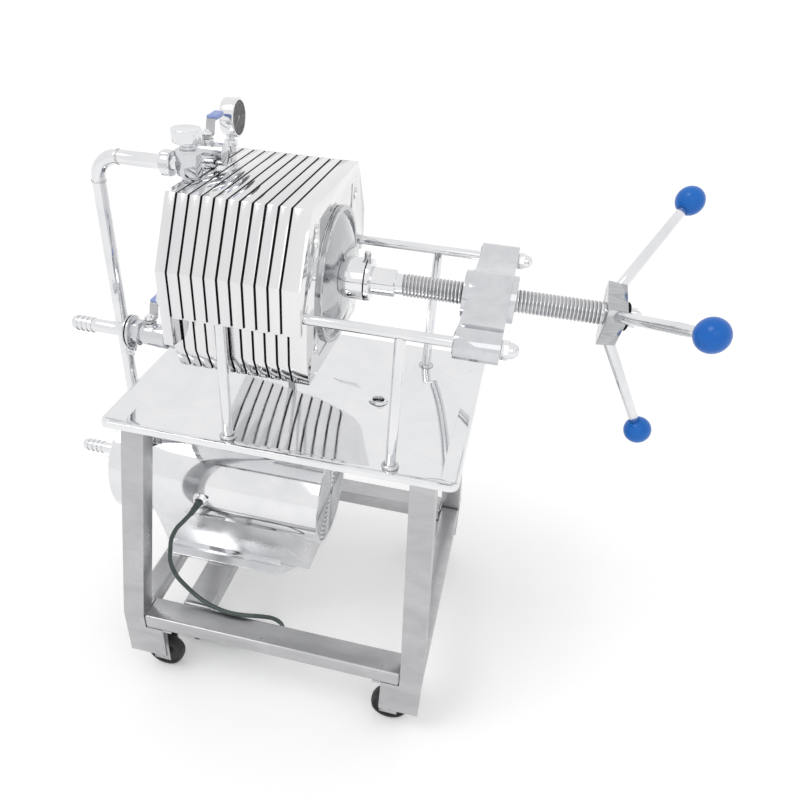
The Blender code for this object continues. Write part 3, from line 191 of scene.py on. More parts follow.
@dataclass(frozen=True)
class Surface:
    """A finish that a grain and marks vary over the surface."""

    name: str
    colour: tuple[float, float, float]
    marked: tuple[float, float, float]
    gloss: tuple[float, float]
    metallic: float = 1.0
    fineness: float = 300.0
    mark_size: float = 14.0
    waviness: float = 0.0
    stretch: tuple[float, float, float] = (1.0, 1.0, 1.0)
    bump: float = 0.00002
    shine: float = 0.5

    def make(self) -> bpy.types.Material:
        """Build the material.

        Returns:
            The finished material.
        """
        made = bpy.data.materials.new(self.name + "_finish")
        made.use_nodes = True
        board = Board(made.node_tree)
        shader = made.node_tree.nodes["Principled BSDF"]
        shader.inputs["Metallic"].default_value = self.metallic
        shader.inputs["Specular IOR Level"].default_value = self.shine
        place = board.put("ShaderNodeTexCoord")
        mapped = board.put("ShaderNodeMapping", {"Scale": self.stretch})
        board.join(place.outputs["Object"], mapped.inputs["Vector"])
        effect = board.put("ShaderNodeGroup", node_tree=EffectGroups.steel_surface())
        board.join(mapped.outputs["Vector"], effect.inputs["Vector"])
        effect.inputs["Fineness"].default_value = self.fineness
        effect.inputs["Mark Size"].default_value = self.mark_size
        effect.inputs["Waviness"].default_value = self.waviness
        tint = board.put("ShaderNodeMix", data_type="RGBA")
        tint.inputs["A"].default_value = (*self.colour, 1)
        tint.inputs["B"].default_value = (*self.marked, 1)
        board.join(effect.outputs["Marks"], tint.inputs["Factor"])
        colour = self.tinted(board, place, tint.outputs["Result"])
        board.join(colour, shader.inputs["Base Color"])
        rough = board.put("ShaderNodeMapRange", {"To Min": self.gloss[0], "To Max": self.gloss[1]})
        board.join(effect.outputs["Marks"], rough.inputs["Value"])
        board.join(rough.outputs["Result"], shader.inputs["Roughness"])
        bump = board.put("ShaderNodeBump", {"Strength": 0.6, "Distance": self.bump})
        board.join(effect.outputs["Height"], bump.inputs["Height"])
        board.join(bump.outputs["Normal"], shader.inputs["Normal"])
        return made

    def tinted(self, board: Board, place: bpy.types.Node,
               colour: bpy.types.NodeSocket) -> bpy.types.NodeSocket:
        """Colour that leaves the finish; finer finishes add their own pattern here."""
        return colour


@dataclass(frozen=True)
class TurnedSurface(Surface):
    """Steel turned on a lathe: fine rings round the screw's axis."""

    height: float = 0.7
    rings: float = 900.0

    def tinted(self, board: Board, place: bpy.types.Node,
               colour: bpy.types.NodeSocket) -> bpy.types.NodeSocket:
        """Darken the colour along fine rings.

        Args:
            board: The material's nodes.
            place: The texture coordinate node.
            colour: The colour so far.

        Returns:
            The ringed colour.
        """
        centred = board.put("ShaderNodeMapping", {"Location": (0, 0, -self.height), "Scale": (0, 1, 1)})
        board.join(place.outputs["Object"], centred.inputs["Vector"])
        reach = board.put("ShaderNodeVectorMath", operation="LENGTH")
        board.join(centred.outputs["Vector"], reach.inputs[0])
        rings = board.put("ShaderNodeTexNoise", {"Scale": self.rings, "Detail": 2.0}, noise_dimensions="1D")
        board.join(reach.outputs["Value"], rings.inputs["W"])
        shade = board.put("ShaderNodeMapRange",
                          {"From Min": 0.3, "From Max": 0.7, "To Min": 0.80, "To Max": 1.0})
        board.join(rings.outputs["Fac"], shade.inputs["Value"])
        mixed = board.put("ShaderNodeMix", data_type="RGBA", blend_type="MULTIPLY")
        mixed.inputs["Factor"].default_value = 1.0
        board.join(colour, mixed.inputs["A"])
        board.join(shade.outputs["Result"], mixed.inputs["B"])
        return mixed.outputs["Result"]


@dataclass(frozen=True)
class LouvreSurface(Surface):
    """Pressed fan cover: steel ridges, with painted shade that turns the slots between them near-black."""

    depth_from: float = 0.0
    depth_to: float = 0.001

    def tinted(self, board: Board, place: bpy.types.Node,
               colour: bpy.types.NodeSocket) -> bpy.types.NodeSocket:
        """Paint shade into the slots, which lie deeper along the press, by turning them near-black.

        Args:
            board: The material's nodes.
            place: The texture coordinate node.
            colour: The colour so far.

        Returns:
            The colour with dark slots.
        """
        split = board.put("ShaderNodeSeparateXYZ")
        board.join(place.outputs["Object"], split.inputs["Vector"])
        mask = board.put("ShaderNodeMapRange", {"From Min": self.depth_from, "From Max": self.depth_to})
        board.join(split.outputs["X"], mask.inputs["Value"])
        mixed = board.put("ShaderNodeMix", data_type="RGBA")
        # Painted shade: near-black for the slots that lie deeper along the press.
        mixed.inputs["A"].default_value = (0.012, 0.012, 0.014, 1)
        board.join(mask.outputs["Result"], mixed.inputs["Factor"])
        board.join(colour, mixed.inputs["B"])
        return mixed.outputs["Result"]


@dataclass(frozen=True)
class GlassSurface:
    """Clear pane of the gauge."""

    name: str = "dial_glass"

    def make(self) -> bpy.types.Material:
        """Build the material.

        Returns:
            The finished material.
        """
        made = bpy.data.materials.new(self.name + "_finish")
        made.use_nodes = True
        board = Board(made.node_tree)
        shader = made.node_tree.nodes["Principled BSDF"]
        shader.inputs["Transmission Weight"].default_value = 1.0
        shader.inputs["IOR"].default_value = 1.12
        place = board.put("ShaderNodeTexCoord")
        smears = board.put("ShaderNodeTexNoise", {"Scale": 90.0, "Detail": 3.0})
        board.join(place.outputs["Object"], smears.inputs["Vector"])
        rough = board.put("ShaderNodeMapRange", {"To Min": 0.0, "To Max": 0.03})
        board.join(smears.outputs["Fac"], rough.inputs["Value"])
        board.join(rough.outputs["Result"], shader.inputs["Roughness"])
        return made


class Finishes:
    """All finishes, each made once."""

    def __init__(self) -> None:
        """Make every finish of the machine."""
        rows = (
            Surface("mirror_steel", (0.80, 0.80, 0.81), (0.72, 0.73, 0.75), (0.05, 0.12), waviness=6.0,
                    fineness=500.0, bump=0.00003),
            Surface("plate_steel", (0.80, 0.80, 0.80), (0.70, 0.70, 0.72), (0.06, 0.14), fineness=26.0,
                    stretch=(1.0, 0.10, 0.10), waviness=3.0, bump=0.00022),
            Surface("tray_steel", (0.82, 0.82, 0.83), (0.76, 0.77, 0.78), (0.025, 0.07), fineness=300.0,
                    waviness=40.0, bump=0.00001),
            TurnedSurface("turned_steel", (0.58, 0.59, 0.60), (0.48, 0.49, 0.51), (0.08, 0.17), waviness=3.0),
            LouvreSurface("louvre_steel_painted_shade", (0.60, 0.61, 0.62), (0.50, 0.51, 0.53), (0.12, 0.24),
                          depth_from=0.0371 - MACHINE_SHIFT, depth_to=0.0382 - MACHINE_SHIFT),
            Surface("satin_steel", (0.53, 0.53, 0.54), (0.44, 0.44, 0.45), (0.27, 0.40), fineness=420.0,
                    stretch=(0.4, 1.0, 1.0), mark_size=22.0, bump=0.00006),
            Surface("sheet_steel", (0.80, 0.80, 0.81), (0.72, 0.73, 0.74), (0.26, 0.36), fineness=420.0,
                    mark_size=22.0, bump=0.00004),
            Surface("cast_steel", (0.66, 0.67, 0.69), (0.58, 0.59, 0.61), (0.05, 0.12), fineness=200.0,
                    mark_size=40.0, bump=0.00002, waviness=90.0),
            Surface("weld_bead", (0.64, 0.64, 0.65), (0.55, 0.55, 0.56), (0.16, 0.30), fineness=600.0,
                    mark_size=120.0, bump=0.0003),
            # Black rubber of the seals and gaskets, also used for the painted shade in the collar's groove.
            Surface("dark_seal_and_groove_shade", (0.004, 0.004, 0.004), (0.010, 0.010, 0.011), (0.60, 0.75), metallic=0.0,
                    fineness=500.0, mark_size=60.0, bump=0.00010, shine=0.08),
            Surface("knob_blue", (0.002, 0.120, 0.50), (0.003, 0.145, 0.55), (0.22, 0.30), metallic=0.0,
                    fineness=240.0, mark_size=30.0, bump=0.00003, shine=0.35),
            Surface("sleeve_blue", (0.24, 0.32, 0.66), (0.33, 0.41, 0.72), (0.35, 0.50), metallic=0.0,
                    fineness=500.0, mark_size=60.0, bump=0.00010),
            Surface("tyre_black", (0.010, 0.010, 0.011), (0.028, 0.028, 0.030), (0.45, 0.62), metallic=0.0,
                    fineness=300.0, mark_size=50.0, bump=0.00015),
            Surface("cord_green", (0.050, 0.072, 0.066), (0.085, 0.112, 0.104), (0.40, 0.55), metallic=0.0,
                    fineness=800.0, mark_size=90.0, bump=0.00010),
            Surface("dial_face", (0.045, 0.047, 0.050), (0.075, 0.077, 0.080), (0.35, 0.50), metallic=0.0,
                    fineness=600.0, mark_size=80.0, bump=0.00004),
            Surface("dial_marks", (0.70, 0.70, 0.68), (0.62, 0.62, 0.60), (0.40, 0.50), metallic=0.0,
                    fineness=600.0, mark_size=200.0, bump=0.00002),
            GlassSurface(),
        )
        self.made = {row.name: row.make() for row in rows}

    def of(self, finish: Finish) -> bpy.types.Material:
        """The material of a finish."""
        return self.made[finish.value[0]]


class Bench:
    """The modelling bench: primitives, edit-mode choices and finishing steps."""

    @staticmethod
    def settle() -> None:
        """Leave edit mode and drop every selection."""
        if bpy.context.mode != "OBJECT":
            bpy.ops.object.mode_set(mode="OBJECT")
        bpy.ops.object.select_all(action="DESELECT")

    @staticmethod
    def take(piece: bpy.types.Object) -> None:
        """Select one piece alone and make it active."""
        Bench.settle()
        piece.select_set(True)
        bpy.context.view_layer.objects.active = piece

    @staticmethod
    def open(piece: bpy.types.Object, kind: str = "FACE") -> None:
        """Open a piece in edit mode with nothing chosen."""
        Bench.take(piece)
        bpy.ops.object.mode_set(mode="EDIT")
        bpy.ops.mesh.select_mode(type=kind)
        bpy.ops.mesh.select_all(action="DESELECT")

    @staticmethod
    def close() -> None:
        """Leave edit mode."""
        bpy.ops.object.mode_set(mode="OBJECT")

    @staticmethod
    def choose_faces(piece: bpy.types.Object, test: Test) -> None:
        """Choose the faces of the open piece that pass a test.

        Args:
            piece: The piece that is open in edit mode.
            test: Takes a face's middle and normal.
        """
        work = bmesh.from_edit_mesh(piece.data)
        for face in work.faces:
            face.select_set(test(face.calc_center_median(), face.normal))
        bmesh.update_edit_mesh(piece.data)

    @staticmethod
    def bake(piece: bpy.types.Object, name: str) -> bpy.types.Object:
        """Name a piece and put its place into its mesh."""
        Bench.take(piece)
        bpy.ops.object.transform_apply(location=True, rotation=True, scale=True)
        piece.name = name
        piece.data.name = name
        return piece

    @staticmethod
    def block(name: str, size: Point, centre: Point, turn: Point = (0, 0, 0)) -> bpy.types.Object:
        """A box to be shaped further.

        Args:
            name: The piece's name.
            size: Its full size on each axis.
            centre: Its middle.
            turn: Its rotation.

        Returns:
            The box.
        """
        Bench.settle()
        bpy.ops.mesh.primitive_cube_add(size=1, location=centre, rotation=turn)
        piece = bpy.context.object
        piece.scale = size
        return Bench.bake(piece, name)

    @staticmethod
    def prism(name: str, radius: float, depth: float, centre: Point, axis: Axis, sides: int = 48,
              tip: float | None = None) -> bpy.types.Object:
        """A cylinder, cone or many-sided bar along one axis.

        Args:
            name: The piece's name.
            radius: Its corner radius.
            depth: Its length.
            centre: Its middle.
            axis: The axis that it lies along.
            sides: How many sides it has.
            tip: The radius at the far end, if it tapers.

        Returns:
            The prism.
        """
        Bench.settle()
        bpy.ops.mesh.primitive_cone_add(vertices=sides, radius1=radius,
                                        radius2=radius if tip is None else tip,
                                        depth=depth, location=centre, rotation=axis.turn)
        return Bench.bake(bpy.context.object, name)

    @staticmethod
    def turned(name: str, profile: Sequence[Point], centre: Point, axis: Axis, steps: int = 64,
               closed: bool = False) -> bpy.types.Object:
        """A profile drawn point by point and spun about an axis.

        Args:
            name: The piece's name.
            profile: Points as (radius, distance along the axis).
            centre: The axis's zero point.
            axis: The axis.
            steps: Steps round the turn.
            closed: Whether the profile's last point returns to its first.

        Returns:
            The turned piece.
        """
        side = Vector((1, 0, 0)) if axis is Axis.Z else Vector((0, 0, 1))
        places = [Vector(centre) + axis.vector * along + side * radius for radius, along in profile]
        if closed:
            places.append(places[0])
        Bench.settle()
        bpy.ops.mesh.primitive_plane_add(size=0.01, location=(0, 0, 0))
        piece = bpy.context.object
        Bench.open(piece, "VERT")
        bpy.ops.mesh.select_all(action="SELECT")
        bpy.ops.mesh.merge(type="CENTER")
        bpy.ops.transform.translate(value=places[0])
        for before, after in zip(places, places[1:]):
            bpy.ops.mesh.extrude_region_move(TRANSFORM_OT_translate={"value": after - before})
        bpy.ops.mesh.select_all(action="SELECT")
        bpy.ops.mesh.spin(steps=steps, angle=TURN, center=centre, axis=axis.vector)
        bpy.ops.mesh.select_all(action="SELECT")
        bpy.ops.mesh.remove_doubles(threshold=WELD)
        bpy.ops.mesh.normals_make_consistent(inside=False)
        Bench.close()
        return Bench.bake(piece, name)

    @staticmethod
    def soften(piece: bpy.types.Object, width: float, segments: int = 2,
               angle: float = 30.0) -> bpy.types.Object:
        """Round the edges that are sharper than an angle, in degrees."""
        Bench.take(piece)
        edge = piece.modifiers.new("edge", "BEVEL")
        edge.width = width
        edge.segments = segments
        edge.limit_method = "ANGLE"
        edge.angle_limit = math.radians(angle)
        edge.harden_normals = False
        bpy.ops.object.modifier_apply(modifier=edge.name)
        return piece

    @staticmethod
    def smooth(piece: bpy.types.Object, angle: float = 40.0) -> bpy.types.Object:
        """Shade smooth below an angle, in degrees."""
        Bench.take(piece)
        bpy.ops.object.shade_smooth_by_angle(angle=math.radians(angle))
        return piece

    @staticmethod
    def socket(piece: bpy.types.Object, test: Test, inset: float, depth: Vector) -> bpy.types.Object:
        """Sink a recess into the faces that pass a test.

        Args:
            piece: The piece.
            test: Takes a face's middle and normal.
            inset: The width of the rim that stays.
            depth: The move of the recess's floor.

        Returns:
            The piece.
        """
        Bench.open(piece)
        Bench.choose_faces(piece, test)
        bpy.ops.mesh.inset(thickness=inset)
        bpy.ops.mesh.extrude_region_move(TRANSFORM_OT_translate={"value": depth})
        Bench.close()
        return piece

    @staticmethod
    def join(name: str, *pieces: bpy.types.Object) -> bpy.types.Object:
        """Join pieces into one object.

        Args:
            name: The joined piece's name.
            *pieces: The pieces, the first of which stays.

        Returns:
            The joined piece.
        """
        Bench.settle()
        for piece in pieces:
            piece.select_set(True)
        bpy.context.view_layer.objects.active = pieces[0]
        bpy.ops.object.join()
        pieces[0].name = name
        return pieces[0]


@dataclass
class Assembly:
    """A sub-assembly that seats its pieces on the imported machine."""

    finishes: Finishes

    def seat(self, piece: bpy.types.Object, body: str, finish: Finish, *nodes: str) -> bpy.types.Object:
        """Finish a piece, let it ride on a body and stand for nodes.

        Args:
            piece: The piece.
            body: The body that carries it.
            finish: Its finish.
            *nodes: The nodes that it stands for.

        Returns:
            The piece.
        """
        piece.data.materials.clear()
        piece.data.materials.append(self.finishes.of(finish))
        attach(piece, body)
        if nodes:
            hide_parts(*nodes)
        LOG.info("%s rides on %s", piece.name, body)
        return piece

    def refined(self, node: str, body: str, finish: Finish, edge: float = 0.0006, segments: int = 2,
                smooth: float = 40.0) -> bpy.types.Object:
        """A node's own shape, welded, with rounded edges and a smooth finish.

        Args:
            node: The node that it stands for.
            body: The body that carries it.
            finish: Its finish.
            edge: The width of the rounded edges.
            segments: Faces across an edge.
            smooth: Angle below which it is shaded smooth, in degrees.

        Returns:
            The piece.
        """
        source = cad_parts[node]
        piece = bpy.data.objects.new(node + "_dressed", source.data.copy())
        bpy.context.scene.collection.objects.link(piece)
        Bench.open(piece)
        bpy.ops.mesh.select_all(action="SELECT")
        bpy.ops.mesh.remove_doubles(threshold=WELD)
        bpy.ops.mesh.dissolve_limited(angle_limit=math.radians(0.6))
        Bench.close()
        if edge:
            Bench.soften(piece, edge, segments)
        Bench.smooth(piece, smooth)
        return self.seat(piece, body, finish, node)


@dataclass
class Table(Assembly):
    """Tray, drain, legs, lower rails and wheels."""

    wheel_radius: float = 0.0325
    wheel_half: float = 0.012
    tyre: float = 0.0075
    weld: float = 0.0022

    def build(self) -> None:
        """Build and dress the table."""
        self.refined("tray", "frame", Finish.TRAY, 0.0005)
        self.refined("drain_socket", "frame", Finish.MIRROR, 0.0004)
        for index in range(1, 5):
            self.refined(f"leg_{index}", "frame", Finish.SATIN, 0.0014, 3)
            self.wheel(index)
        for side in ("front", "back", "left", "right"):
            self.refined(f"low_rail_{side}", "frame", Finish.SATIN, 0.0010)
        self.refined("pump_bar", "frame", Finish.SATIN, 0.0010)
        self.leg_welds()

    def wheel(self, index: int) -> None:
        """A wheel with a rounded tyre and a turned hub.

        Args:
            index: The wheel's number.
        """
        low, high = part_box(f"wheel_{index}")
        centre = (low + high) / 2
        centre.z = self.wheel_radius
        radius, half, tyre = self.wheel_radius, self.wheel_half, self.tyre
        body = f"wheel_{index}"
        rim = radius - tyre
        profile = [(rim, half * 0.72), (rim + tyre * 0.35, half * 0.97), (rim + tyre * 0.7, half * 0.86),
                   (radius - 0.0004, half * 0.45), (radius, 0), (radius - 0.0004, -half * 0.45),
                   (rim + tyre * 0.7, -half * 0.86), (rim + tyre * 0.35, -half * 0.97), (rim, -half * 0.72)]
        tyre_piece = Bench.turned(f"tyre_{index}", profile, centre, Axis.Y, 56, closed=True)
        self.seat(Bench.smooth(tyre_piece, 50), body, Finish.TYRE, body)
        web = [(0.0047, half), (0.0080, half), (0.0092, half * 0.6), (rim - 0.004, half * 0.5),
               (rim, half * 0.70),
               (rim, -half * 0.70), (rim - 0.004, -half * 0.5), (0.0092, -half * 0.6), (0.0080, -half),
               (0.0047, -half)]
        hub = Bench.turned(f"hub_{index}", web, centre, Axis.Y, 40, closed=True)
        self.seat(Bench.smooth(Bench.soften(hub, 0.0004, 2, 35)), body, Finish.TYRE)

    def leg_welds(self) -> None:
        """Weld beads where the legs meet the lower rails."""
        for index, (side_x, side_y) in enumerate(((-1, -1), (1, -1), (1, 1), (-1, 1)), 1):
            low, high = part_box(f"leg_{index}")
            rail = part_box("low_rail_front" if side_y < 0 else "low_rail_back")
            edge_x = rail[0].x if side_x < 0 else rail[1].x
            centre = Vector((edge_x, (rail[0].y + rail[1].y) / 2, rail[1].z))
            bead = Bench.block(f"leg_weld_{index}", (self.weld, rail[1].y - rail[0].y - 0.006, self.weld),
                               centre)
            Bench.open(bead)
            bpy.ops.mesh.select_all(action="SELECT")
            bpy.ops.mesh.subdivide(number_cuts=14, fractal=0.0)
            Bench.close()
            Bench.soften(bead, self.weld * 0.4, 2, 60)
            self.seat(Bench.smooth(bead, 60), "frame", Finish.WELDED)


@dataclass
class Rails(Assembly):
    """Side rails with their cap nuts, the posts and the crosshead."""

    radius: float = 0.007
    nut: float = 0.0124
    height: float = 0.700
    spread: float = 0.1466
    left: float = -0.1523
    head_left: float = 0.230
    head_right: float = 0.2863
    nut_thick: float = 0.010

    def build(self) -> None:
        """Build and dress the rails."""
        for name, side in (("rail_front", -1), ("rail_back", 1)):
            self.rail(name, side)
        for corner in ("front_left", "front_right", "back_left", "back_right"):
            self.post("post_" + corner)
        self.refined("crosshead", "frame", Finish.CAST, 0.0030, 4, 55)
        self.boss_faces()

    def rail(self, name: str, side: int) -> None:
        """A polished rail with a hexagon and dome at its free end.

        Args:
            name: The rail's node.
            side: -1 for the front rail, 1 for the back one.
        """
        y = side * self.spread
        length = self.head_right - self.left
        bar = Bench.prism(name + "_bar", self.radius, length, at(self.left + length / 2, y, self.height),
                          Axis.X, 40)
        Bench.open(bar)
        Bench.choose_faces(bar, lambda middle, normal: normal.x < -0.9)
        bpy.ops.mesh.inset(thickness=0.0012)
        bpy.ops.transform.translate(value=(-0.0010, 0, 0))
        Bench.close()
        self.seat(Bench.smooth(bar), "frame", Finish.MIRROR, name)
        head = Bench.prism(name + "_head", self.nut, 0.0068, at(self.left - 0.0035, y, self.height), Axis.X,
                           6)
        self.seat(Bench.smooth(Bench.soften(head, 0.0010, 3)), "frame", Finish.MIRROR)
        nut = Bench.prism(name + "_nut", self.nut, self.nut_thick, at(self.head_right + self.nut_thick / 2, y,
                                                                     self.height), Axis.X, 6)
        self.seat(Bench.smooth(Bench.soften(nut, 0.0010, 3)), "frame", Finish.MIRROR)
        start = self.head_right + self.nut_thick
        cap = self.nut * 0.80
        dome = [(0.0, start + 0.0122)] + [
            (cap * math.sin(QUARTER * step / 7), start + 0.0022 + 0.0100 * math.cos(QUARTER * step / 7))
            for step in range(1, 8)] + [(cap, start), (0.0, start)]
        piece = Bench.turned(name + "_dome", dome, at(0, y, self.height), Axis.X, 40)
        self.seat(Bench.smooth(piece, 50), "frame", Finish.MIRROR)
        washer = Bench.turned(name + "_washer",
                              [(0.0078, -0.0014), (0.0142, -0.0014), (0.0142, 0), (0.0078, 0)],
                              at(self.head_left - 0.0004, y, self.height), Axis.X, 40, closed=True)
        self.seat(Bench.smooth(Bench.soften(washer, 0.0003)), "frame", Finish.SATIN)

    def post(self, name: str) -> None:
        """A post with the weld ring that holds it to the tray.

        Args:
            name: The post's node.
        """
        self.refined(name, "frame", Finish.MIRROR, 0.0004)
        low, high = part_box(name)
        centre = (low + high) / 2
        centre.z = low.z
        ring = [(0.0076, 0.0044), (0.0092, 0.0040), (0.0108, 0.0028), (0.0122, 0.0010), (0.0125, 0.0001),
                (0.0076, 0.0001)]
        piece = Bench.turned(name + "_weld", ring, centre, Axis.Z, 44, closed=True)
        Bench.open(piece, "VERT")
        bpy.ops.mesh.select_all(action="SELECT")
        bpy.ops.transform.vertex_random(offset=0.00022, uniform=0.0, normal=1.0, seed=7)
        Bench.close()
        self.seat(Bench.smooth(piece, 70), "frame", Finish.WELDED)

    def boss_faces(self) -> None:
        """Machined faces of the crosshead's bosses and eye."""
        for label, side in (("front", -1), ("back", 1)):
            face = Bench.turned(f"boss_face_{label}", [(0.0075, 0.0004), (0.0160, 0.0004), (0.0168, -0.0004),
                                                       (0.0075, -0.0004)],
                                at(self.head_left - 0.0001, side * self.spread, self.height), Axis.X, 44,
                                closed=True)
            self.seat(Bench.smooth(face), "frame", Finish.TURNED)
        low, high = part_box("crosshead")
        for label, x, way in (("left", low.x, -1), ("right", high.x, 1)):
            lip = Bench.turned(f"eye_lip_{label}", [(0.0172, 0.0), (0.0215, 0.0), (0.0222, way * -0.0012),
                                                    (0.0172, way * -0.0012)],
                               Vector((x + way * 0.0002, 0, self.height)), Axis.X, 48, closed=True)
            self.seat(Bench.smooth(lip), "frame", Finish.TURNED)


@dataclass
class PlatePack(Assembly):
    """Fixed plate, filter plates with their gaskets, and the clamp plate with its dome."""

    plates: int = 9
    gasket: float = 0.0028
    press_out: float = 1.0085
    edge: float = 0.0004
    clamp_right: float = 0.0388
    axis_height: float = 0.700
    rim: float = 0.0962
    lip: float = 0.0062
    rise: float = 0.0202
    collar: float = 0.0292
    collar_length: float = 0.0331

    def build(self) -> None:
        """Build and dress the pack."""
        self.refined("fixed_plate", "frame", Finish.PLATE, self.edge)
        for index in range(1, self.plates + 1):
            self.sealed(self.refined(f"filter_plate_{index}", f"plate_{index}", Finish.PLATE, self.edge),
                        f"filter_plate_{index}")
        self.sealed(self.refined("clamp_plate", "clamp", Finish.PLATE, self.edge), "clamp_plate")
        self.dome()

    def sealed(self, piece: bpy.types.Object, node: str) -> None:
        """Give the gasket on a plate's left face its black rubber, pressed out to the plate's edge.

        Args:
            piece: The plate.
            node: The plate's node.
        """
        piece.data.materials.append(self.finishes.of(Finish.DARK))
        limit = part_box(node)[0].x + self.gasket - 0.0002
        middle = Vector((limit, 0, self.axis_height))
        Bench.open(piece, "FACE")
        Bench.choose_faces(piece, lambda spot,
                           normal: spot.x < limit - self.gasket / 2 and abs(normal.x) > 0.4)
        bpy.ops.transform.resize(value=(1.0, self.press_out, self.press_out), center_override=middle)
        Bench.close()
        for face in piece.data.polygons:
            if face.center.x < limit:
                face.material_index = 1

    def dome(self) -> None:
        """Turned dome, its raised rim, the collar and its locking screw."""
        inner = self.rim - 0.0064
        crown = self.clamp_right + self.rise
        profile = [(self.rim, self.clamp_right - 0.0004), (self.rim, self.clamp_right + self.lip - 0.0012),
                   (self.rim - 0.0010, self.clamp_right + self.lip),
                   (inner + 0.0008, self.clamp_right + self.lip),
                   (inner, self.clamp_right + self.lip - 0.0008), (inner - 0.0002, self.clamp_right + 0.0008)]
        for step in range(0, 15):
            share = step / 14
            profile.append((inner - 0.0012 + (self.collar - inner + 0.0012) * share,
                            self.clamp_right + 0.0006 + self.rise * math.sin(QUARTER * share) - 0.0004 * share))
        profile.append((self.collar - 0.004, crown))
        shell = Bench.turned("clamp_dome_shell", profile, at(0, 0, self.axis_height), Axis.X, 128)
        Bench.take(shell)
        wall = shell.modifiers.new("wall", "SOLIDIFY")
        wall.thickness = 0.0003
        wall.offset = 0
        bpy.ops.object.modifier_apply(modifier=wall.name)
        self.seat(Bench.smooth(shell, 38), "clamp", Finish.TURNED)
        end = crown + self.collar_length
        ring = [(0.0193, crown - 0.001), (self.collar + 0.0002, crown - 0.001),
                (self.collar + 0.0002, end - 0.0085),
                (self.collar - 0.0001, end - 0.0080), (self.collar + 0.0002, end - 0.0064),
                (self.collar + 0.0002, end - 0.0010), (self.collar - 0.0010, end + 0.0002),
                (0.0193, end + 0.0002)]
        sleeve = Bench.turned("collar_sleeve", ring, at(0, 0, self.axis_height), Axis.X, 72, closed=True)
        self.seat(Bench.smooth(sleeve, 35), "clamp", Finish.MIRROR)
        # Painted shade: a thin black band laid in the collar's groove, where shade falls.
        groove_shade_band = Bench.turned("collar_groove_painted_shade", [(self.collar - 0.0002, 0.0), (self.collar + 0.0004, 0.0),
                                                (self.collar + 0.0004, 0.0016),
                                                (self.collar - 0.0002, 0.0016)],
                              at(end - 0.0080, 0, self.axis_height), Axis.X, 72, closed=True)
        self.seat(Bench.smooth(groove_shade_band), "clamp", Finish.DARK)
        screw_x = self.clamp_right + 0.020 + self.collar_length - 0.008
        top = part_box("clamp_plate")
        pin_top = self.axis_height + 0.0375
        screw = Bench.prism("collar_screw", 0.0047, 0.0100, at(screw_x, 0, pin_top - 0.0040), Axis.Z, 28)
        Bench.socket(screw, lambda middle, normal: normal.z > 0.9, 0.0018, Vector((0, 0, -0.004)))
        self.seat(Bench.smooth(Bench.soften(screw, 0.0004, 2, 60)), "clamp", Finish.SATIN)
        LOG.info("clamp plate reaches %.3f m", top[1].x)


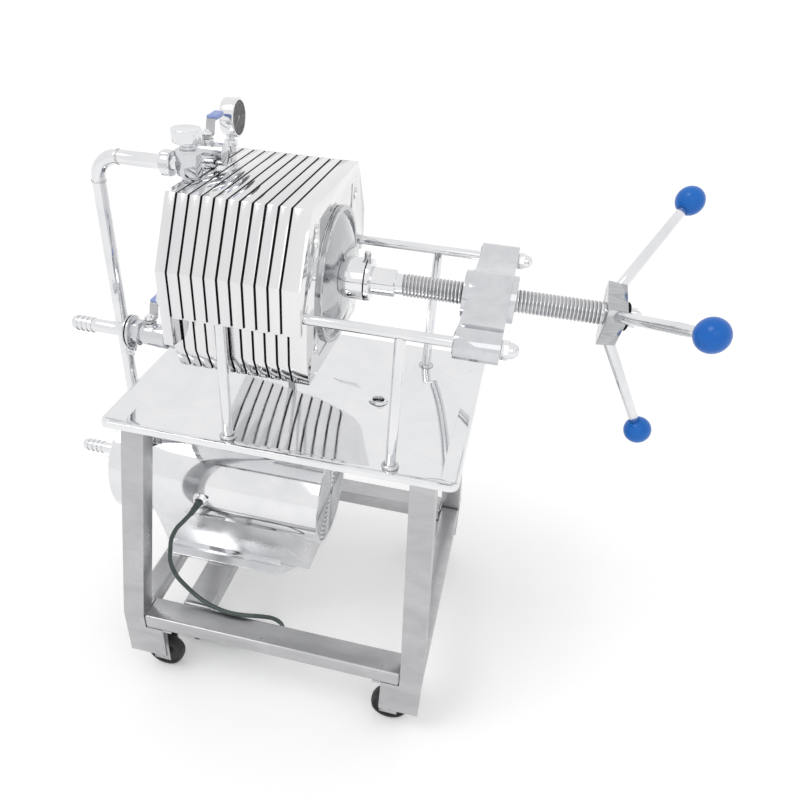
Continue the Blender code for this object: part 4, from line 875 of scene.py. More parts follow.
@dataclass
class ClampScrew(Assembly):
    """Threaded screw, hand star and its ball knobs."""

    height: float = 0.700
    start: float = 0.0671
    shaft: float = 0.0190
    shaft_end: float = 0.1268
    neck: float = 0.0145
    neck_end: float = 0.1358
    root: float = 0.0144
    pitch: float = 0.005
    plate_left: float = 0.410
    plate_right: float = 0.436
    plate_reach: float = 0.060
    arm_x: float = 0.4255
    arm_root: float = 0.040
    knob: float = 0.020
    knob_x: float = 0.504
    reach: float = 0.190
    lean: float = 38.0

    def build(self) -> None:
        """Build and dress the screw and its star."""
        self.spindle()
        self.thread()
        self.hub()
        for index in range(3):
            self.ball(index)

    def spindle(self) -> None:
        """Smooth shaft, neck and thread core."""
        end = self.plate_left + 0.002
        profile = [(0.0, self.start), (self.shaft, self.start), (self.shaft, self.shaft_end - 0.0012),
                   (self.shaft - 0.0012, self.shaft_end), (self.neck, self.shaft_end),
                   (self.neck, self.neck_end),
                   (self.root, self.neck_end), (self.root, end), (0.0, end)]
        piece = Bench.turned("spindle", profile, at(0, 0, self.height), Axis.X, 64)
        self.seat(Bench.smooth(piece, 35), "screw", Finish.MIRROR, "screw")

    def thread(self) -> None:
        """The helical thread, wound from one tooth's section."""
        Bench.settle()
        middle = at(self.neck_end + 0.0024, 0, self.height + self.root - 0.0002)
        bpy.ops.mesh.primitive_circle_add(vertices=4, radius=0.0022, fill_type="NOTHING", location=middle,
                                          rotation=(QUARTER, 0, 0))
        piece = Bench.bake(bpy.context.object, "screw_thread")
        Bench.open(piece, "VERT")
        bpy.ops.mesh.select_all(action="SELECT")
        bpy.ops.transform.resize(value=(1.0, 1.0, 0.80), center_override=middle)
        bpy.ops.transform.translate(value=-at(0, 0, self.height))
        Bench.close()
        Bench.take(piece)
        turns = int((self.plate_left - self.neck_end - 0.003) / self.pitch)
        wind = piece.modifiers.new("wind", "SCREW")
        wind.axis = "X"
        wind.angle = TURN
        wind.screw_offset = self.pitch
        wind.iterations = turns
        wind.steps = 32
        wind.render_steps = 32
        wind.use_merge_vertices = False
        bpy.ops.object.modifier_apply(modifier=wind.name)
        Bench.open(piece, "VERT")
        bpy.ops.mesh.select_all(action="SELECT")
        bpy.ops.transform.translate(value=at(0, 0, self.height))
        bpy.ops.mesh.remove_doubles(threshold=WELD)
        bpy.ops.mesh.fill_holes(sides=0)
        bpy.ops.mesh.select_all(action="SELECT")
        bpy.ops.mesh.normals_make_consistent(inside=False)
        Bench.close()
        self.seat(Bench.smooth(piece, 50), "screw", Finish.SATIN)

    def hub(self) -> None:
        """Three-sided hub plate with its corners cut for the arms, its washer and its cap nut."""
        middle = at((self.plate_left + self.plate_right) / 2, 0, self.height)
        plate = Bench.prism("star_hub", self.plate_reach, self.plate_right - self.plate_left, middle,
                            Axis.X, 3)
        corner = max((point.co for point in plate.data.vertices), key=lambda place: place.z)
        swing = math.radians(self.lean) - math.atan2(corner.z - self.height, corner.y)
        plate.matrix_world = (Matrix.Translation(middle) @ Matrix.Rotation(swing, 4, "X")
                              @ Matrix.Translation(-middle))
        Bench.bake(plate, "star_hub")
        Bench.soften(plate, 0.016, 1, 100)
        Bench.open(plate)
        Bench.choose_faces(plate, lambda spot, normal: normal.x > 0.9)
        bpy.ops.transform.resize(value=(1.0, 0.94, 0.94), center_override=middle)
        Bench.close()
        self.seat(Bench.smooth(Bench.soften(plate, 0.0014, 3, 20)), "screw", Finish.TURNED, "hand_star")
        washer = Bench.turned("hub_washer", [(0.0080, 0.0), (0.0190, 0.0), (0.0196, 0.0010), (0.0190, 0.0050),
                                             (0.0165, 0.0072), (0.0080, 0.0072)],
                              at(self.plate_right - 0.0002, 0, self.height), Axis.X, 48, closed=True)
        self.seat(Bench.smooth(Bench.soften(washer, 0.0003)), "screw", Finish.DARK)
        nut = Bench.prism("hub_nut", 0.0135, 0.0100, at(self.plate_right + 0.0118, 0, self.height), Axis.X, 6)
        dome = [(0.0, 0.0080)] + [(0.0105 * math.sin(QUARTER * step / 6),
                                   0.0080 * math.cos(QUARTER * step / 6))
                                     for step in range(1, 7)] + [(0.0, 0.0)]
        cap = Bench.turned("hub_cap", dome, at(self.plate_right + 0.0166, 0, self.height), Axis.X, 36)
        self.seat(Bench.smooth(Bench.join("hub_cap_nut", Bench.soften(nut, 0.0010, 3), cap), 50), "screw",
                  Finish.MIRROR)

    def ball(self, index: int) -> None:
        """An arm and the glossy ball knob on its end.

        Args:
            index: The arm's number from 0.
        """
        angle = math.radians(self.lean + 120 * index)
        outward = Vector((0, math.cos(angle), math.sin(angle)))
        centre = at(self.knob_x, 0, self.height) + outward * self.reach
        root = at(self.arm_x, 0, self.height) + outward * self.arm_root
        along = (centre - root).normalized()
        length = (centre - root).length - self.knob + 0.0060
        arm = Bench.prism(f"star_arm_{index + 1}", 0.0079, length, root + Vector((0, 0, length / 2)),
                          Axis.Z, 40,
                          tip=0.0068)
        self.tilt(arm, root, along)
        self.seat(Bench.smooth(Bench.soften(arm, 0.0005)), "screw", Finish.MIRROR)
        turn = along.to_track_quat("Z", "Y").to_euler()
        Bench.settle()
        bpy.ops.mesh.primitive_uv_sphere_add(segments=56, ring_count=32, radius=self.knob, location=centre,
                                             rotation=turn)
        piece = Bench.bake(bpy.context.object, f"ball_knob_{index + 1}")
        flat = centre - along * (self.knob - 0.0016)
        Bench.open(piece, "VERT")
        bpy.ops.mesh.select_all(action="SELECT")
        bpy.ops.mesh.bisect(plane_co=flat, plane_no=-along, clear_outer=True, use_fill=True)
        bpy.ops.mesh.select_mode(type="FACE")
        Bench.choose_faces(piece, lambda middle, normal: normal.dot(-along) > 0.995
                           and (middle - flat).length < 0.004)
        bpy.ops.mesh.inset(thickness=0.0006)
        bpy.ops.mesh.extrude_region_move(TRANSFORM_OT_translate={"value": along * 0.0006})
        Bench.close()
        self.seat(Bench.smooth(piece, 45), "screw", Finish.KNOB, f"knob_{index + 1}")

    @staticmethod
    def tilt(piece: bpy.types.Object, pivot: Vector, along: Vector) -> None:
        """Turn a finished upright piece about a pivot until it lies along a direction."""
        turn = along.to_track_quat("Z", "Y").to_matrix().to_4x4()
        piece.matrix_world = Matrix.Translation(pivot) @ turn @ Matrix.Translation(-pivot)
        Bench.bake(piece, piece.name)


@dataclass
class PumpSet(Assembly):
    """Pump head, motor shroud with its fan cover, and their bolts."""

    axis_height: float = 0.300
    motor_right: float = 0.040
    fan_radius: float = 0.0866
    ridges: int = 9
    motor_left: float = -0.2597
    skirt_right: float = 0.0170
    plate_top: float = 0.1503
    fold: float = 0.2678
    fold_half: float = 0.0878
    foot_half: float = 0.0520

    def build(self) -> None:
        """Build and dress the pump and motor."""
        self.refined("pump", "frame", Finish.MIRROR, 0.0009, 3)
        self.refined("motor_shroud", "frame", Finish.MIRROR, 0.0010, 3)
        self.fan_cover()
        self.skirt()
        self.cover_bolts()
        self.flare()

    def fan_cover(self) -> None:
        """Ridged fan cover that fills the shroud's end."""
        base = self.motor_right - 0.0038
        steps = self.ridges * 6
        profile = [(0.0, base + 0.0030), (0.012, base + 0.0030), (0.0135, base + 0.0022)]
        for step in range(steps + 1):
            share = step / steps
            height = base + 0.0008 + 0.0013 * (1 - math.cos(TURN * self.ridges * share))
            profile.append((0.015 + (self.fan_radius - 0.015) * share, height))
        cover = Bench.turned("fan_cover", profile, at(0, 0, self.axis_height), Axis.X, 96)
        Bench.take(cover)
        wall = cover.modifiers.new("wall", "SOLIDIFY")
        wall.thickness = 0.0004
        wall.offset = 0
        bpy.ops.object.modifier_apply(modifier=wall.name)
        self.seat(Bench.smooth(cover, 60), "frame", Finish.LOUVRE)

    def skirt(self) -> None:
        """Folded lower walls that carry the shroud down to its base plate."""
        length = self.skirt_right - self.motor_left - 0.0015
        middle = at((self.motor_left + self.skirt_right) / 2, 0, (self.fold + self.plate_top) / 2)
        walls = Bench.block("shroud_skirt",
                            (length, 2 * self.fold_half, self.fold - self.plate_top - 0.0002), middle)
        Bench.open(walls)
        Bench.choose_faces(walls, lambda spot, normal: normal.z < -0.9)
        bpy.ops.transform.resize(value=(1.0, self.foot_half / self.fold_half, 1.0), center_override=middle)
        Bench.close()
        self.seat(Bench.smooth(Bench.soften(walls, 0.0012, 3)), "frame", Finish.SHEET)

    def cover_bolts(self) -> None:
        """Dome nuts round the pump's cover."""
        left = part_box("pump")[0].x
        face = at(-0.331, 0, 0).x
        for index in range(6):
            angle = TURN * (index + 0.5) / 6
            spot = Vector((face, 0.080 * math.cos(angle), self.axis_height + 0.080 * math.sin(angle)))
            dome = [(0.0, -0.0086), (0.0030, -0.0080), (0.0046, -0.0064), (0.0052, -0.0046),
                    (0.0068, -0.0044),
                    (0.0068, -0.0002), (0.0, -0.0002)]
            nut = Bench.turned(f"pump_nut_{index + 1}", dome, spot, Axis.X, 24)
            self.seat(Bench.smooth(nut, 40), "frame", Finish.MIRROR)
        LOG.info("pump starts at %.3f m", left)

    def flare(self) -> None:
        """Polished boss that the cord's gland sits in."""
        boss = [(0.0070, -0.0044), (0.0086, -0.0052), (0.0102, -0.0044), (0.0122, -0.0012), (0.0145, 0.0012),
                (0.0070, 0.0012)]
        piece = Bench.turned("gland_boss", boss, at(-0.163, -0.0935, 0.305), Axis.Y, 56, closed=True)
        self.seat(Bench.smooth(piece, 50), "frame", Finish.MIRROR)


@dataclass
class BallValve(Assembly):
    """A ball valve lying along the press, with its bonnet and lever."""

    name: str = "upper_valve"
    lever: str = "upper_lever"
    x: float = -0.14505
    y: float = 0.004
    z: float = 0.8465
    foot: float | None = 0.8283
    half: float = 0.025
    hexagon: float = 0.0150
    hex_length: float = 0.011
    barrel: float = 0.0137
    hold: float = 0.0203

    def build(self) -> None:
        """Build and dress the valve and its lever."""
        centre = at(self.x, self.y, self.z)
        ends = []
        spot = centre - Vector((self.half - self.hex_length / 2, 0, 0))
        end = Bench.prism(f"{self.name}_end", self.hexagon, self.hex_length, spot, Axis.X, 6)
        Bench.socket(end, lambda middle, normal: normal.x < -0.9, 0.0045, Vector((0.004, 0, 0)))
        ends.append(Bench.soften(end, 0.0009, 2))
        wide = self.barrel
        shell = [(0.0, -0.0150), (wide * 0.78, -0.0150), (wide * 0.90, -0.0128), (wide * 0.97, -0.0080),
                 (wide, 0.0),
                 (wide * 1.02, 0.0090), (wide * 1.06, 0.0120), (wide * 1.06, 0.0250), (wide * 1.0, 0.0256),
                 (0.0, 0.0256)]
        ends.append(Bench.turned(self.name + "_shell", shell, centre, Axis.X, 48))
        bonnet = Bench.prism(self.name + "_bonnet", 0.0098, 0.0080, centre + Vector((0, 0, 0.0150)), Axis.Z,
                             8)
        ends.append(Bench.soften(bonnet, 0.0007, 2))
        if self.foot is not None:
            rise = self.z - self.foot
            nipple = Bench.prism(self.name + "_nipple", 0.0066, rise, centre - Vector((0, 0, rise / 2)),
                                 Axis.Z, 32)
            seat = Bench.prism(self.name + "_seat", 0.0105, 0.0060, at(self.x, self.y, self.foot + 0.0032),
                               Axis.Z, 6)
            ends += [nipple, Bench.soften(seat, 0.0007, 2)]
        body = Bench.join(self.name + "_body", *ends)
        self.seat(Bench.smooth(body, 38), "frame", Finish.CAST, self.name)
        packing = Bench.prism(self.name + "_packing", 0.0058, 0.0014, centre + Vector((0, 0, 0.0193)),
                              Axis.Z, 28)
        stem = Bench.prism(self.name + "_stem", 0.0039, 0.0102, centre + Vector((0, 0, 0.0248)), Axis.Z, 24)
        rod = Bench.join(self.name + "_spindle", Bench.soften(packing, 0.0003), Bench.soften(stem, 0.0005))
        self.seat(Bench.smooth(rod), "frame", Finish.MIRROR)
        self.handle(centre + Vector((0, 0, self.hold)))

    def handle(self, foot: Vector) -> None:
        """Stepped lever with its moulded sleeve and its nut.

        Args:
            foot: Where the lever rests on the bonnet, on the stem's axis.
        """
        strap = Bench.block(self.lever + "_strap", (0.013, 0.018, 0.0022), foot + Vector((0, 0, 0.0012)))
        Bench.open(strap)
        Bench.choose_faces(strap, lambda middle, normal: normal.y > 0.9)
        bpy.ops.mesh.extrude_region_move(TRANSFORM_OT_translate={"value": (0, 0.0030, 0.0010)})
        bpy.ops.mesh.extrude_region_move(TRANSFORM_OT_translate={"value": (0, 0.0048, 0.0150)})
        bpy.ops.mesh.extrude_region_move(TRANSFORM_OT_translate={"value": (0, 0.0030, 0.0018)})
        bpy.ops.mesh.extrude_region_move(TRANSFORM_OT_translate={"value": (0, 0.0240, 0.0020)})
        Bench.close()
        self.seat(Bench.smooth(Bench.soften(strap, 0.0006, 2, 45)), self.lever, Finish.SATIN, self.lever)
        grip = Bench.block(self.lever + "_sleeve", (0.0150, 0.0140, 0.0058),
                           foot + Vector((0, 0.0262, 0.0202)))
        Bench.open(grip)
        Bench.choose_faces(grip, lambda middle, normal: normal.y > 0.9)
        bpy.ops.mesh.extrude_region_move(TRANSFORM_OT_translate={"value": (0, 0.0110, 0.0010)})
        bpy.ops.mesh.extrude_region_move(TRANSFORM_OT_translate={"value": (0, 0.0036, 0.0003)})
        bpy.ops.transform.resize(value=(0.66, 1.0, 0.8))
        Bench.close()
        self.seat(Bench.smooth(Bench.soften(grip, 0.0018, 3, 25), 60), self.lever, Finish.SLEEVE)
        nut = Bench.prism(self.lever + "_nut", 0.0068, 0.0040, foot + Vector((0, 0, 0.0046)), Axis.Z, 6)
        self.seat(Bench.smooth(Bench.soften(nut, 0.0006, 2)), self.lever, Finish.MIRROR)


@dataclass
class Gauge(Assembly):
    """Pressure gauge that faces the hand star."""

    x: float = -0.15205
    y: float = 0.085
    z: float = 0.8763
    radius: float = 0.026
    depth: float = 0.022
    foot: float = 0.8283

    def build(self) -> None:
        """Build and dress the gauge."""
        centre = at(self.x, self.y, self.z)
        edge, deep = self.radius, self.depth
        case = [(0.0, 0.0), (edge - 0.0040, 0.0), (edge - 0.0015, 0.0012), (edge - 0.0008, 0.0030),
                (edge - 0.0008, deep - 0.0060), (edge, deep - 0.0055), (edge, deep - 0.0012),
                (edge - 0.0012, deep - 0.0001), (edge - 0.0030, deep - 0.0003),
                (edge - 0.0034, deep - 0.0030),
                (0.0, deep - 0.0030)]
        shell = Bench.turned("gauge_case", case, centre, Axis.X, 72)
        neck = Bench.prism("gauge_neck", 0.0066, 0.0240, at(-0.14505, self.y, self.foot + 0.0122), Axis.Z, 32)
        hexagon = Bench.prism("gauge_hexagon", 0.0100, 0.0090, at(-0.14505, self.y, self.foot + 0.0130),
                              Axis.Z, 6)
        whole = Bench.join("gauge_body", shell, neck, Bench.soften(hexagon, 0.0008, 2))
        self.seat(Bench.smooth(whole, 38), "frame", Finish.MIRROR, "gauge")
        face = [(0.0, deep - 0.0024), (edge - 0.0036, deep - 0.0024), (edge - 0.0036, deep - 0.0029),
                (0.0, deep - 0.0029)]
        self.seat(Bench.turned("gauge_dial", face, centre, Axis.X, 72), "frame", Finish.DIAL)
        self.marks(centre + Vector((deep - 0.0022, 0, 0)))
        pane = [(0.0, deep - 0.0008), (edge - 0.0032, deep - 0.0008), (edge - 0.0032, deep - 0.0014),
                (0.0, deep - 0.0014)]
        self.seat(Bench.turned("gauge_glass", pane, centre, Axis.X, 72), "frame", Finish.GLASS)

    def marks(self, middle: Vector) -> None:
        """Scale marks, numbers and the needle on the dial.

        Args:
            middle: The dial's middle, just off its face.
        """
        pieces = []
        for index in range(31):
            angle = math.radians(225 - 9 * index)
            main = index % 5 == 0
            length = 0.0032 if main else 0.0018
            spot = middle + Vector((0, math.cos(angle), math.sin(angle))) * (0.0205 - length / 2)
            tick = Bench.block(f"tick_{index}", (0.0003, length, 0.0007 if main else 0.0004), spot,
                               (angle, 0, 0))
            pieces.append(tick)
            if main:
                Bench.settle()
                number = middle + Vector((0, math.cos(angle), math.sin(angle))) * 0.0145
                bpy.ops.object.text_add(location=number, rotation=(QUARTER, 0, QUARTER))
                text = bpy.context.object
                text.data.body = str(index // 5)
                text.data.size = 0.0058
                text.data.extrude = 0.0001
                text.data.align_x = "CENTER"
                text.data.align_y = "CENTER"
                Bench.take(text)
                bpy.ops.object.convert(target="MESH")
                pieces.append(Bench.bake(bpy.context.object, f"number_{index}"))
        needle = Bench.prism("needle", 0.0010, 0.0180, middle + Vector((0.0004, 0, 0)), Axis.Z, 8, tip=0.0003)
        turn = Matrix.Translation(middle) @ Matrix.Rotation(math.radians(128), 4, "X") @ Matrix.Translation(
            Vector((0, 0, 0.005)) - middle)
        needle.matrix_world = turn
        Bench.bake(needle, "needle")
        cap = Bench.prism("needle_cap", 0.0022, 0.0010, middle + Vector((0.0004, 0, 0)), Axis.X, 24)
        pieces += [needle, Bench.soften(cap, 0.0003)]
        self.seat(Bench.join("gauge_marks", *pieces), "frame", Finish.MARKS)


@dataclass
class Pipework(Assembly):
    """Discharge pipe, vent valve, gauge, ball valves and the lower outlet."""

    pipe_x: float = -0.279
    pipe_y: float = -0.055
    run_z: float = 0.845
    body_x: float = -0.14505
    plate_top: float = 0.8283

    def build(self) -> None:
        """Build and dress the pipework."""
        self.refined("discharge_pipe", "frame", Finish.MIRROR, 0.0006)
        self.pipe_nuts()
        self.vent()
        BallValve(self.finishes).build()
        BallValve(self.finishes, name="outlet_valve", lever="outlet_lever", x=-0.194, y=-0.120, z=0.626,
                  foot=None,
                  hexagon=0.0185, barrel=0.0158).build()
        Gauge(self.finishes).build()
        self.refined("outlet_tail", "frame", Finish.MIRROR, 0.0004)
        self.refined("outlet_flange", "frame", Finish.CAST, 0.0006)
        self.outlet_clamp()

    def pipe_nuts(self) -> None:
        """Union nuts at both ends of the pipe and the weld before its bend."""
        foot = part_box("discharge_pipe")[0].z
        low = Bench.prism("pipe_nut_low", 0.0150, 0.0150, at(self.pipe_x, self.pipe_y, foot + 0.0080),
                          Axis.Z, 6)
        self.seat(Bench.smooth(Bench.soften(low, 0.0012, 3)), "frame", Finish.CAST)
        high = Bench.prism("pipe_nut_high", 0.0170, 0.0150,
                           at(self.body_x - 0.0290, self.pipe_y, self.run_z), Axis.X, 6)
        self.seat(Bench.smooth(Bench.soften(high, 0.0012, 3)), "frame", Finish.CAST)
        bead = [(0.0094, -0.0016), (0.0101, -0.0012), (0.0104, 0.0), (0.0101, 0.0012), (0.0094, 0.0016)]
        for index, (spot, axis) in enumerate(((at(self.pipe_x, self.pipe_y, 0.8105), Axis.Z),
                                              (at(-0.2445, self.pipe_y, self.run_z), Axis.X)), 1):
            piece = Bench.turned(f"pipe_weld_{index}", bead, spot, axis, 48, closed=True)
            self.seat(Bench.smooth(piece, 60), "frame", Finish.WELDED)

    def vent(self) -> None:
        """Block-bodied vent valve with its packing nut, stem and round knob."""
        bottom, top = 0.8322, 0.8660
        bar = Bench.prism("vent_bar", 0.0165, top - bottom,
                          at(self.body_x, self.pipe_y, (top + bottom) / 2), Axis.Z, 6)
        foot = Bench.prism("vent_foot", 0.0112, 0.0046, at(self.body_x, self.pipe_y, 0.8304), Axis.Z, 36)
        gland = Bench.prism("vent_packing", 0.0105, 0.0034, at(self.body_x, self.pipe_y, top + 0.0012),
                            Axis.Z, 36)
        body = Bench.join("vent_body", Bench.soften(bar, 0.0012, 3), Bench.soften(foot, 0.0005),
                          Bench.soften(gland, 0.0005))
        self.seat(Bench.smooth(body, 38), "frame", Finish.CAST, "vent_valve")
        low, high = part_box("vent_knob")
        middle = (low + high) / 2
        half = (high.z - low.z) / 2
        stem = Bench.prism("vent_stem", 0.0072, 0.0150, Vector((middle.x, middle.y, low.z - 0.0030)),
                           Axis.Z, 32)
        self.seat(Bench.smooth(Bench.soften(stem, 0.0004)), "vent_knob", Finish.MIRROR)
        rim = [(0.0, half - 0.0006), (0.0170, half - 0.0006), (0.0178, half), (0.0190, half),
               (0.0196, half - 0.0008),
               (0.0196, 0.0010 - half), (0.0188, -half), (0.0, -half)]
        knob = Bench.turned("vent_wheel", rim, middle, Axis.Z, 64)
        self.seat(Bench.smooth(Bench.soften(knob, 0.0003, 2, 35), 40), "vent_knob", Finish.MIRROR,
                  "vent_knob")

    def outlet_clamp(self) -> None:
        """Two ferrules, the dark seal between them, and the clamp's screw below."""
        spot = Vector((at(-0.194 - 0.025, 0, 0).x - 0.0050, -0.120, 0.626))
        for label, way in (("outer", -1), ("inner", 1)):
            ferrule = Bench.turned(f"ferrule_{label}", [(0.0098, way * 0.0010), (0.0232, way * 0.0010),
                                                        (0.0232, way * 0.0032), (0.0215, way * 0.0044),
                                                        (0.0120, way * 0.0062), (0.0098, way * 0.0062)],
                                   spot, Axis.X, 64, closed=True)
            self.seat(Bench.smooth(Bench.soften(ferrule, 0.0004)), "frame", Finish.CAST)
        seal = Bench.turned("ferrule_seal",
                            [(0.0098, -0.0011), (0.0222, -0.0011), (0.0222, 0.0011), (0.0098, 0.0011)],
                            spot, Axis.X, 64, closed=True)
        self.seat(Bench.smooth(seal), "frame", Finish.DARK)
        ear = Bench.block("clamp_ear", (0.0088, 0.0050, 0.0090), spot + Vector((0, -0.0030, -0.0252)))
        Bench.open(ear)
        Bench.choose_faces(ear, lambda middle, normal: normal.z < -0.9)
        bpy.ops.transform.resize(value=(0.8, 0.8, 1.0))
        Bench.close()
        bolt = Bench.prism("clamp_bolt", 0.0022, 0.0200, spot + Vector((0, -0.0060, -0.0265)), Axis.Y, 20)
        wing = Bench.block("clamp_wing", (0.0130, 0.0030, 0.0056), spot + Vector((0, -0.0135, -0.0265)))
        Bench.open(wing)
        Bench.choose_faces(wing, lambda middle, normal: abs(normal.x) > 0.9)
        bpy.ops.transform.resize(value=(1.0, 0.7, 1.5))
        Bench.close()
        screw = Bench.join("clamp_wing_screw", Bench.soften(ear, 0.0010, 3), bolt,
                           Bench.soften(wing, 0.0009, 3))
        self.seat(Bench.smooth(screw), "frame", Finish.CAST)


@dataclass
class PowerLead(Assembly):
    """Mains lead: strain relief, the lead over the lower rail, its hank and its plug."""

    radius: float = 0.00375
    run_half: float = 0.0650
    turns: int = 2
    relief_length: float = 0.026
    route: tuple[Point, ...] = (
        (-0.163, -0.1006, 0.305), (-0.1638, -0.1123, 0.3039), (-0.1669, -0.1221, 0.2998),
        (-0.1718, -0.1296, 0.2947),
        (-0.1777, -0.1352, 0.2879), (-0.1870, -0.1403, 0.2763), (-0.1952, -0.1471, 0.2565),
        (-0.1995, -0.1482, 0.2317),
        (-0.2000, -0.1528, 0.2074), (-0.1886, -0.1587, 0.1832), (-0.164, -0.167, 0.1665),
        (-0.136, -0.1755, 0.1555),
        (-0.106, -0.182, 0.1510), (-0.080, -0.1845, 0.1502), (-0.055, -0.1820, 0.1500),
        (-0.033, -0.1735, 0.1450),
        (-0.0155, -0.1615, 0.1320), (-0.0055, -0.1510, 0.1110), (-0.0050, -0.1430, 0.0870),
        (-0.0130, -0.1390, 0.0630),
        (-0.0290, -0.1380, 0.0425), (-0.0510, -0.1380, 0.0285), (-0.0740, -0.1380, 0.0215),
        (-0.0920, -0.1380, 0.0198),
    )

    def build(self) -> None:
        path = self.along(self.route, 6) + self.hank()
        curve = bpy.data.curves.new("power_lead", "CURVE")
        curve.dimensions = "3D"
        curve.bevel_depth = self.radius
        curve.bevel_resolution = 3
        curve.use_fill_caps = True
        line = curve.splines.new("POLY")
        line.points.add(len(path) - 1)
        for point, place in zip(line.points, path):
            point.co = (*place, 1)
        lead = bpy.data.objects.new("power_lead", curve)
        bpy.context.scene.collection.objects.link(lead)
        self.seat(lead, "frame", Finish.CORD, "power_cord", "cord_hank")
        plug = self.plug(path[-1])
        relief = self.relief(path)
        tie = self.tie()

    @staticmethod
    def along(points: Sequence[Point], steps: int) -> list[Vector]:
        """Places on a smooth curve through the route's points.

        Args:
            points: The route, measured from the tray's middle.
            steps: Places between two points.

        Returns:
            The places in the world.
        """
        knots = [at(*point) for point in points]
        knots = [2 * knots[0] - knots[1]] + knots + [2 * knots[-1] - knots[-2]]
        places = []
        for index in range(1, len(knots) - 2):
            a, b, c, d = knots[index - 1:index + 3]
            for step in range(steps):
                t = step / steps
                places.append(0.5 * ((2 * b) + (c - a) * t + (2 * a - 5 * b + 4 * c - d) * t ** 2
                                     + (3 * b - a - 3 * c + d) * t ** 3))
        return places + [knots[-2]]

    def hank(self) -> list[Vector]:
        """Turns of the hank, wound from its top layer down to the floor.

        Returns:
            The places along the turns, and on to the plug.
        """
        bend = 0.02325
        middle = at(-0.176, -0.115, 0)
        half = self.run_half
        pitch = 2 * self.radius + 0.0002
        once = 4 * half + TURN * bend
        count = 120 * self.turns
        top = 0.0198
        places = []
        for step in range(1, count + 1):
            run = once * self.turns * step / count
            lap = run % once if step < count else 0.0
            if lap <= 2 * half:
                flat = Vector((half - lap, -bend, 0))
            elif lap <= 2 * half + math.pi * bend:
                angle = (lap - 2 * half) / bend
                flat = Vector((-half - bend * math.sin(angle), -bend * math.cos(angle), 0))
            elif lap <= 4 * half + math.pi * bend:
                flat = Vector((-half + (lap - 2 * half - math.pi * bend), bend, 0))
            else:
                angle = (lap - 4 * half - math.pi * bend) / bend
                flat = Vector((half + bend * math.sin(angle), bend * math.cos(angle), 0))
            places.append(middle + flat + Vector((0, 0, top - pitch * run / once)))
        low = places[-1].z
        tail_end = Vector((-half - 0.0273, -bend + 0.0067, 0))
        for step in range(1, 31):
            share = step / 30
            ease = share * share * (3 - 2 * share)
            x = half + (tail_end.x - half) * share
            places.append(middle + Vector((x, -bend + 0.0067 * ease,
                                           low + (0.0090 - low) * max(0.0, share - 0.55)
                                           / 0.45 * max(0.0, share - 0.55) / 0.45)))
        return places

    def plug(self, end: Vector) -> bpy.types.Object:
        """Moulded plug with two pins.

        Args:
            end: Where the lead enters it.

        Returns:
            The plug.
        """
        body = Bench.block("plug_body", (0.0120, 0.0150, 0.0140), end + Vector((-0.0062, 0, 0)))
        Bench.open(body)
        Bench.choose_faces(body, lambda middle, normal: normal.x < -0.9)
        bpy.ops.mesh.extrude_region_move(TRANSFORM_OT_translate={"value": (-0.0060, 0, 0)})
        bpy.ops.transform.resize(value=(1.0, 1.66, 1.25))
        bpy.ops.mesh.extrude_region_move(TRANSFORM_OT_translate={"value": (-0.0210, 0, 0)})
        Bench.close()
        Bench.soften(body, 0.0024, 3, 15)
        self.seat(Bench.smooth(body, 50), "frame", Finish.TYRE, "cord_plug")
        for index, side in enumerate((-1, 1), 1):
            pin = Bench.block(f"plug_pin_{index}", (0.0158, 0.0016, 0.0060),
                              end + Vector((-0.0472, side * 0.0065, 0)))
            Bench.soften(pin, 0.0004)
            self.seat(pin, "frame", Finish.MIRROR)
            pin.parent = body
            pin.matrix_parent_inverse = Matrix.Identity(4)
        return body

    def relief(self, path: Sequence[Vector]) -> bpy.types.Object:
        """Tapered, ribbed strain relief that follows the lead out of the shroud.

        Args:
            path: The lead's places from its exit on.

        Returns:
            The strain relief.
        """
        curve = bpy.data.curves.new("strain_relief", "CURVE")
        curve.dimensions = "3D"
        curve.bevel_depth = 1.0
        curve.bevel_resolution = 5
        curve.use_fill_caps = True
        places, run = [], 0.0
        before = path[0] + Vector((0, 0.0012, 0))
        for place in [before, *path]:
            run += (place - before).length
            before = place
            if run > self.relief_length:
                break
            places.append((place, run / self.relief_length))
        line = curve.splines.new("POLY")
        line.points.add(len(places) - 1)
        for index, (point, (place, share)) in enumerate(zip(line.points, places)):
            point.co = (*place, 1)
            point.radius = 0.0066 - 0.0020 * share - (0.0005 if index % 2 and share < 0.85 else 0)
        sleeve = bpy.data.objects.new("strain_relief", curve)
        bpy.context.scene.collection.objects.link(sleeve)
        Bench.take(sleeve)
        bpy.ops.object.convert(target="MESH")
        sleeve = Bench.bake(bpy.context.object, "strain_relief")
        return self.seat(Bench.smooth(sleeve, 60), "frame", Finish.CORD, "cable_gland")

    def tie(self) -> bpy.types.Object:
        """Band that holds the hank's runs together.

        Returns:
            The tie.
        """
        spot = at(-0.176, -0.115 - 0.02325, 0.0120)
        band = Bench.block("hank_tie", (0.0080, 0.0085, 0.0236), spot)
        Bench.open(band)
        Bench.choose_faces(band, lambda middle, normal: abs(normal.x) > 0.9)
        bpy.ops.mesh.inset(thickness=0.0005)
        bpy.ops.mesh.delete(type="FACE")
        Bench.close()
        Bench.take(band)
        wall = band.modifiers.new("wall", "SOLIDIFY")
        wall.thickness = 0.0005
        wall.offset = 1
        bpy.ops.object.modifier_apply(modifier=wall.name)
        self.seat(Bench.smooth(band), "frame", Finish.TYRE)
        return band


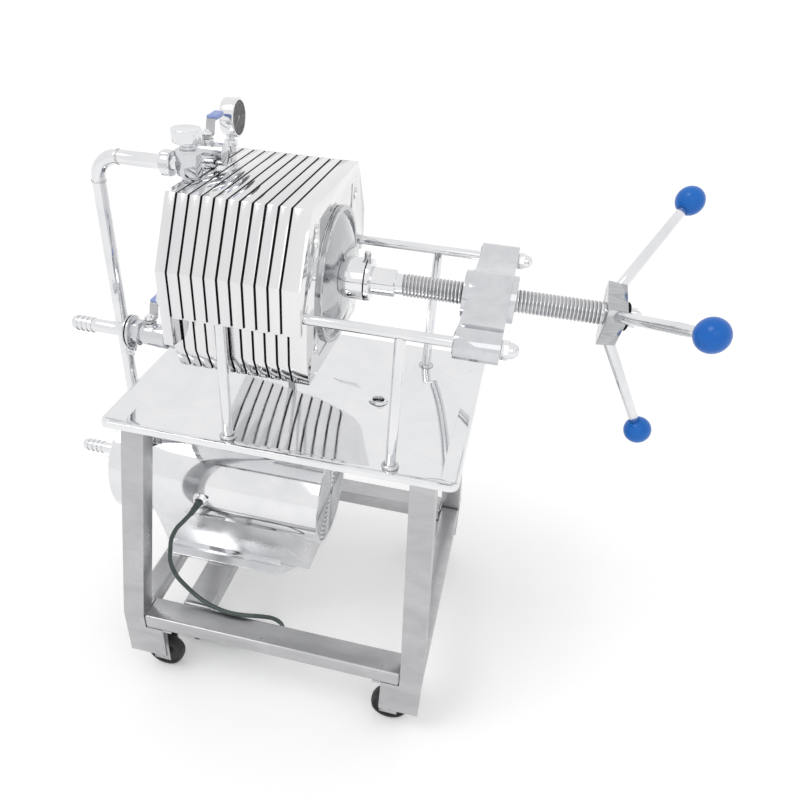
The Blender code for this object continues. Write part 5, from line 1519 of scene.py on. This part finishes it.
@dataclass(frozen=True)
class Camera:
    """The photograph's view."""

    place: Point = (0.2465, -0.9443, 1.1202)
    pitch: float = 35.905
    azimuth: float = 11.57
    roll: float = 3.399
    lens: float = 32.82
    shift_x: float = 0.0398
    shift_y: float = 0.0504

    def make(self) -> None:
        """Place the camera and make it the scene's."""
        data = bpy.data.cameras.new("photo_view")
        data.sensor_width = 36
        data.lens = self.lens
        data.shift_x = self.shift_x
        data.shift_y = self.shift_y
        camera = bpy.data.objects.new("photo_view", data)
        bpy.context.scene.collection.objects.link(camera)
        turn = (Matrix.Rotation(math.radians(self.azimuth), 4, "Z")
                @ Matrix.Rotation(QUARTER - math.radians(self.pitch), 4, "X")
                @ Matrix.Rotation(math.radians(self.roll), 4, "Z"))
        camera.matrix_world = Matrix.Translation(Vector(self.place)) @ turn
        bpy.context.scene.camera = camera


@dataclass(frozen=True)
class Studio:
    """Pale floor and plain soft lights."""

    floor_size: float = 60.0
    ambient: float = 0.80
    floor_glow: float = 0.16
    sun_width: float = 24.0
    fill_size: float = 1.4
    sun: float = 0.55
    fill_power: float = 3.0

    def make(self) -> None:
        """Build the studio."""
        bpy.context.scene.view_settings.view_transform = "Standard"
        self.floor()
        self.world()
        data = bpy.data.lights.new("key_light", "SUN")
        data.energy = self.sun
        data.angle = math.radians(self.sun_width)
        self.aim(data, (-1.0, -0.7, 2.4))
        data = bpy.data.lights.new("fill_light", "AREA")
        data.energy = self.fill_power
        data.size = self.fill_size
        self.aim(data, (0.6, -2.1, 2.2))

    @staticmethod
    def aim(data: bpy.types.Light, place: Point) -> None:
        """Hang a light and aim it at the machine.

        Args:
            data: The light.
            place: Where it hangs.
        """
        lamp = bpy.data.objects.new(data.name, data)
        bpy.context.scene.collection.objects.link(lamp)
        lamp.location = place
        lamp.rotation_euler = (Vector((0, 0, 0.5)) - Vector(place)).to_track_quat("-Z", "Y").to_euler()

    @staticmethod
    def clouded(board: Board, scale: float, low: Point, high: Point) -> bpy.types.NodeSocket:
        """A colour that drifts between two tones.

        Args:
            board: The material's nodes.
            scale: How fine the drift is.
            low: One tone.
            high: The other tone.

        Returns:
            The colour.
        """
        place = board.put("ShaderNodeTexCoord")
        cloud = board.put("ShaderNodeTexNoise", {"Scale": scale, "Detail": 2.0})
        board.join(place.outputs["Object"], cloud.inputs["Vector"])
        tint = board.put("ShaderNodeMix", data_type="RGBA")
        tint.inputs["A"].default_value = (*low, 1)
        tint.inputs["B"].default_value = (*high, 1)
        board.join(cloud.outputs["Fac"], tint.inputs["Factor"])
        return tint.outputs["Result"]

    @staticmethod
    def shown(board: Board) -> bpy.types.NodeSocket:
        """One where the camera, steel or glass sees the background, nought where it lights the machine.

        Args:
            board: The nodes of the floor's material or of the world.

        Returns:
            The mask.
        """
        rays = board.put("ShaderNodeLightPath")
        mask = rays.outputs["Is Camera Ray"]
        for name in ("Is Glossy Ray", "Is Transmission Ray"):
            either = board.put("ShaderNodeMath", operation="MAXIMUM")
            board.join(mask, either.inputs[0])
            board.join(rays.outputs[name], either.inputs[1])
            mask = either.outputs["Value"]
        return mask

    def floor(self) -> None:
        """Pale floor that reads white to the camera and in the steel, and keeps the machine's shadow."""
        Bench.settle()
        bpy.ops.mesh.primitive_plane_add(size=self.floor_size, location=(0, 0, -0.0004))
        floor = Bench.bake(bpy.context.object, "studio_floor")
        Bench.open(floor)
        bpy.ops.mesh.select_all(action="SELECT")
        bpy.ops.mesh.subdivide(number_cuts=3)
        Bench.close()
        material = bpy.data.materials.new("studio_floor_finish")
        material.use_nodes = True
        board = Board(material.node_tree)
        shader = material.node_tree.nodes["Principled BSDF"]
        shader.inputs["Roughness"].default_value = 0.8
        shader.inputs["Specular IOR Level"].default_value = 0.1
        shader.inputs["Emission Color"].default_value = (1, 1, 1, 1)
        glow = board.put("ShaderNodeMath", {1: self.floor_glow}, operation="MULTIPLY")
        board.join(self.shown(board), glow.inputs[0])
        board.join(glow.outputs["Value"], shader.inputs["Emission Strength"])
        board.join(self.clouded(board, 0.7, (0.94, 0.94, 0.94), (0.96, 0.96, 0.96)),
                   shader.inputs["Base Color"])
        floor.data.materials.append(material)

    def world(self) -> None:
        """White to the camera, steel and glass, and a plain level of light to everything else."""
        world = bpy.data.worlds.new("studio_room")
        bpy.context.scene.world = world
        world.use_nodes = True
        board = Board(world.node_tree)
        world.node_tree.nodes.clear()
        light = board.put("ShaderNodeBackground", {"Color": (1, 1, 1, 1), "Strength": self.ambient})
        white = board.put("ShaderNodeBackground", {"Color": (1, 1, 1, 1), "Strength": 1.0})
        room = board.put("ShaderNodeMixShader")
        board.join(self.shown(board), room.inputs["Fac"])
        board.join(light.outputs["Background"], room.inputs[1])
        board.join(white.outputs["Background"], room.inputs[2])
        output = board.put("ShaderNodeOutputWorld")
        board.join(room.outputs["Shader"], output.inputs["Surface"])


def write_sizes() -> None:
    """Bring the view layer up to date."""
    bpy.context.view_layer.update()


def main() -> None:
    """Build the dressed machine in its studio."""
    logging.basicConfig(level=logging.INFO, format="%(message)s")
    Camera().make()
    finishes = Finishes()
    PowerLead(finishes).build()
    Studio().make()
    for part in (Table, Rails, PlatePack, ClampScrew, PumpSet, Pipework):
        part(finishes).build()
        LOG.info("%s is dressed", part.__name__)
    Bench.settle()
    write_sizes()


if __name__ == "__main__":
    main()
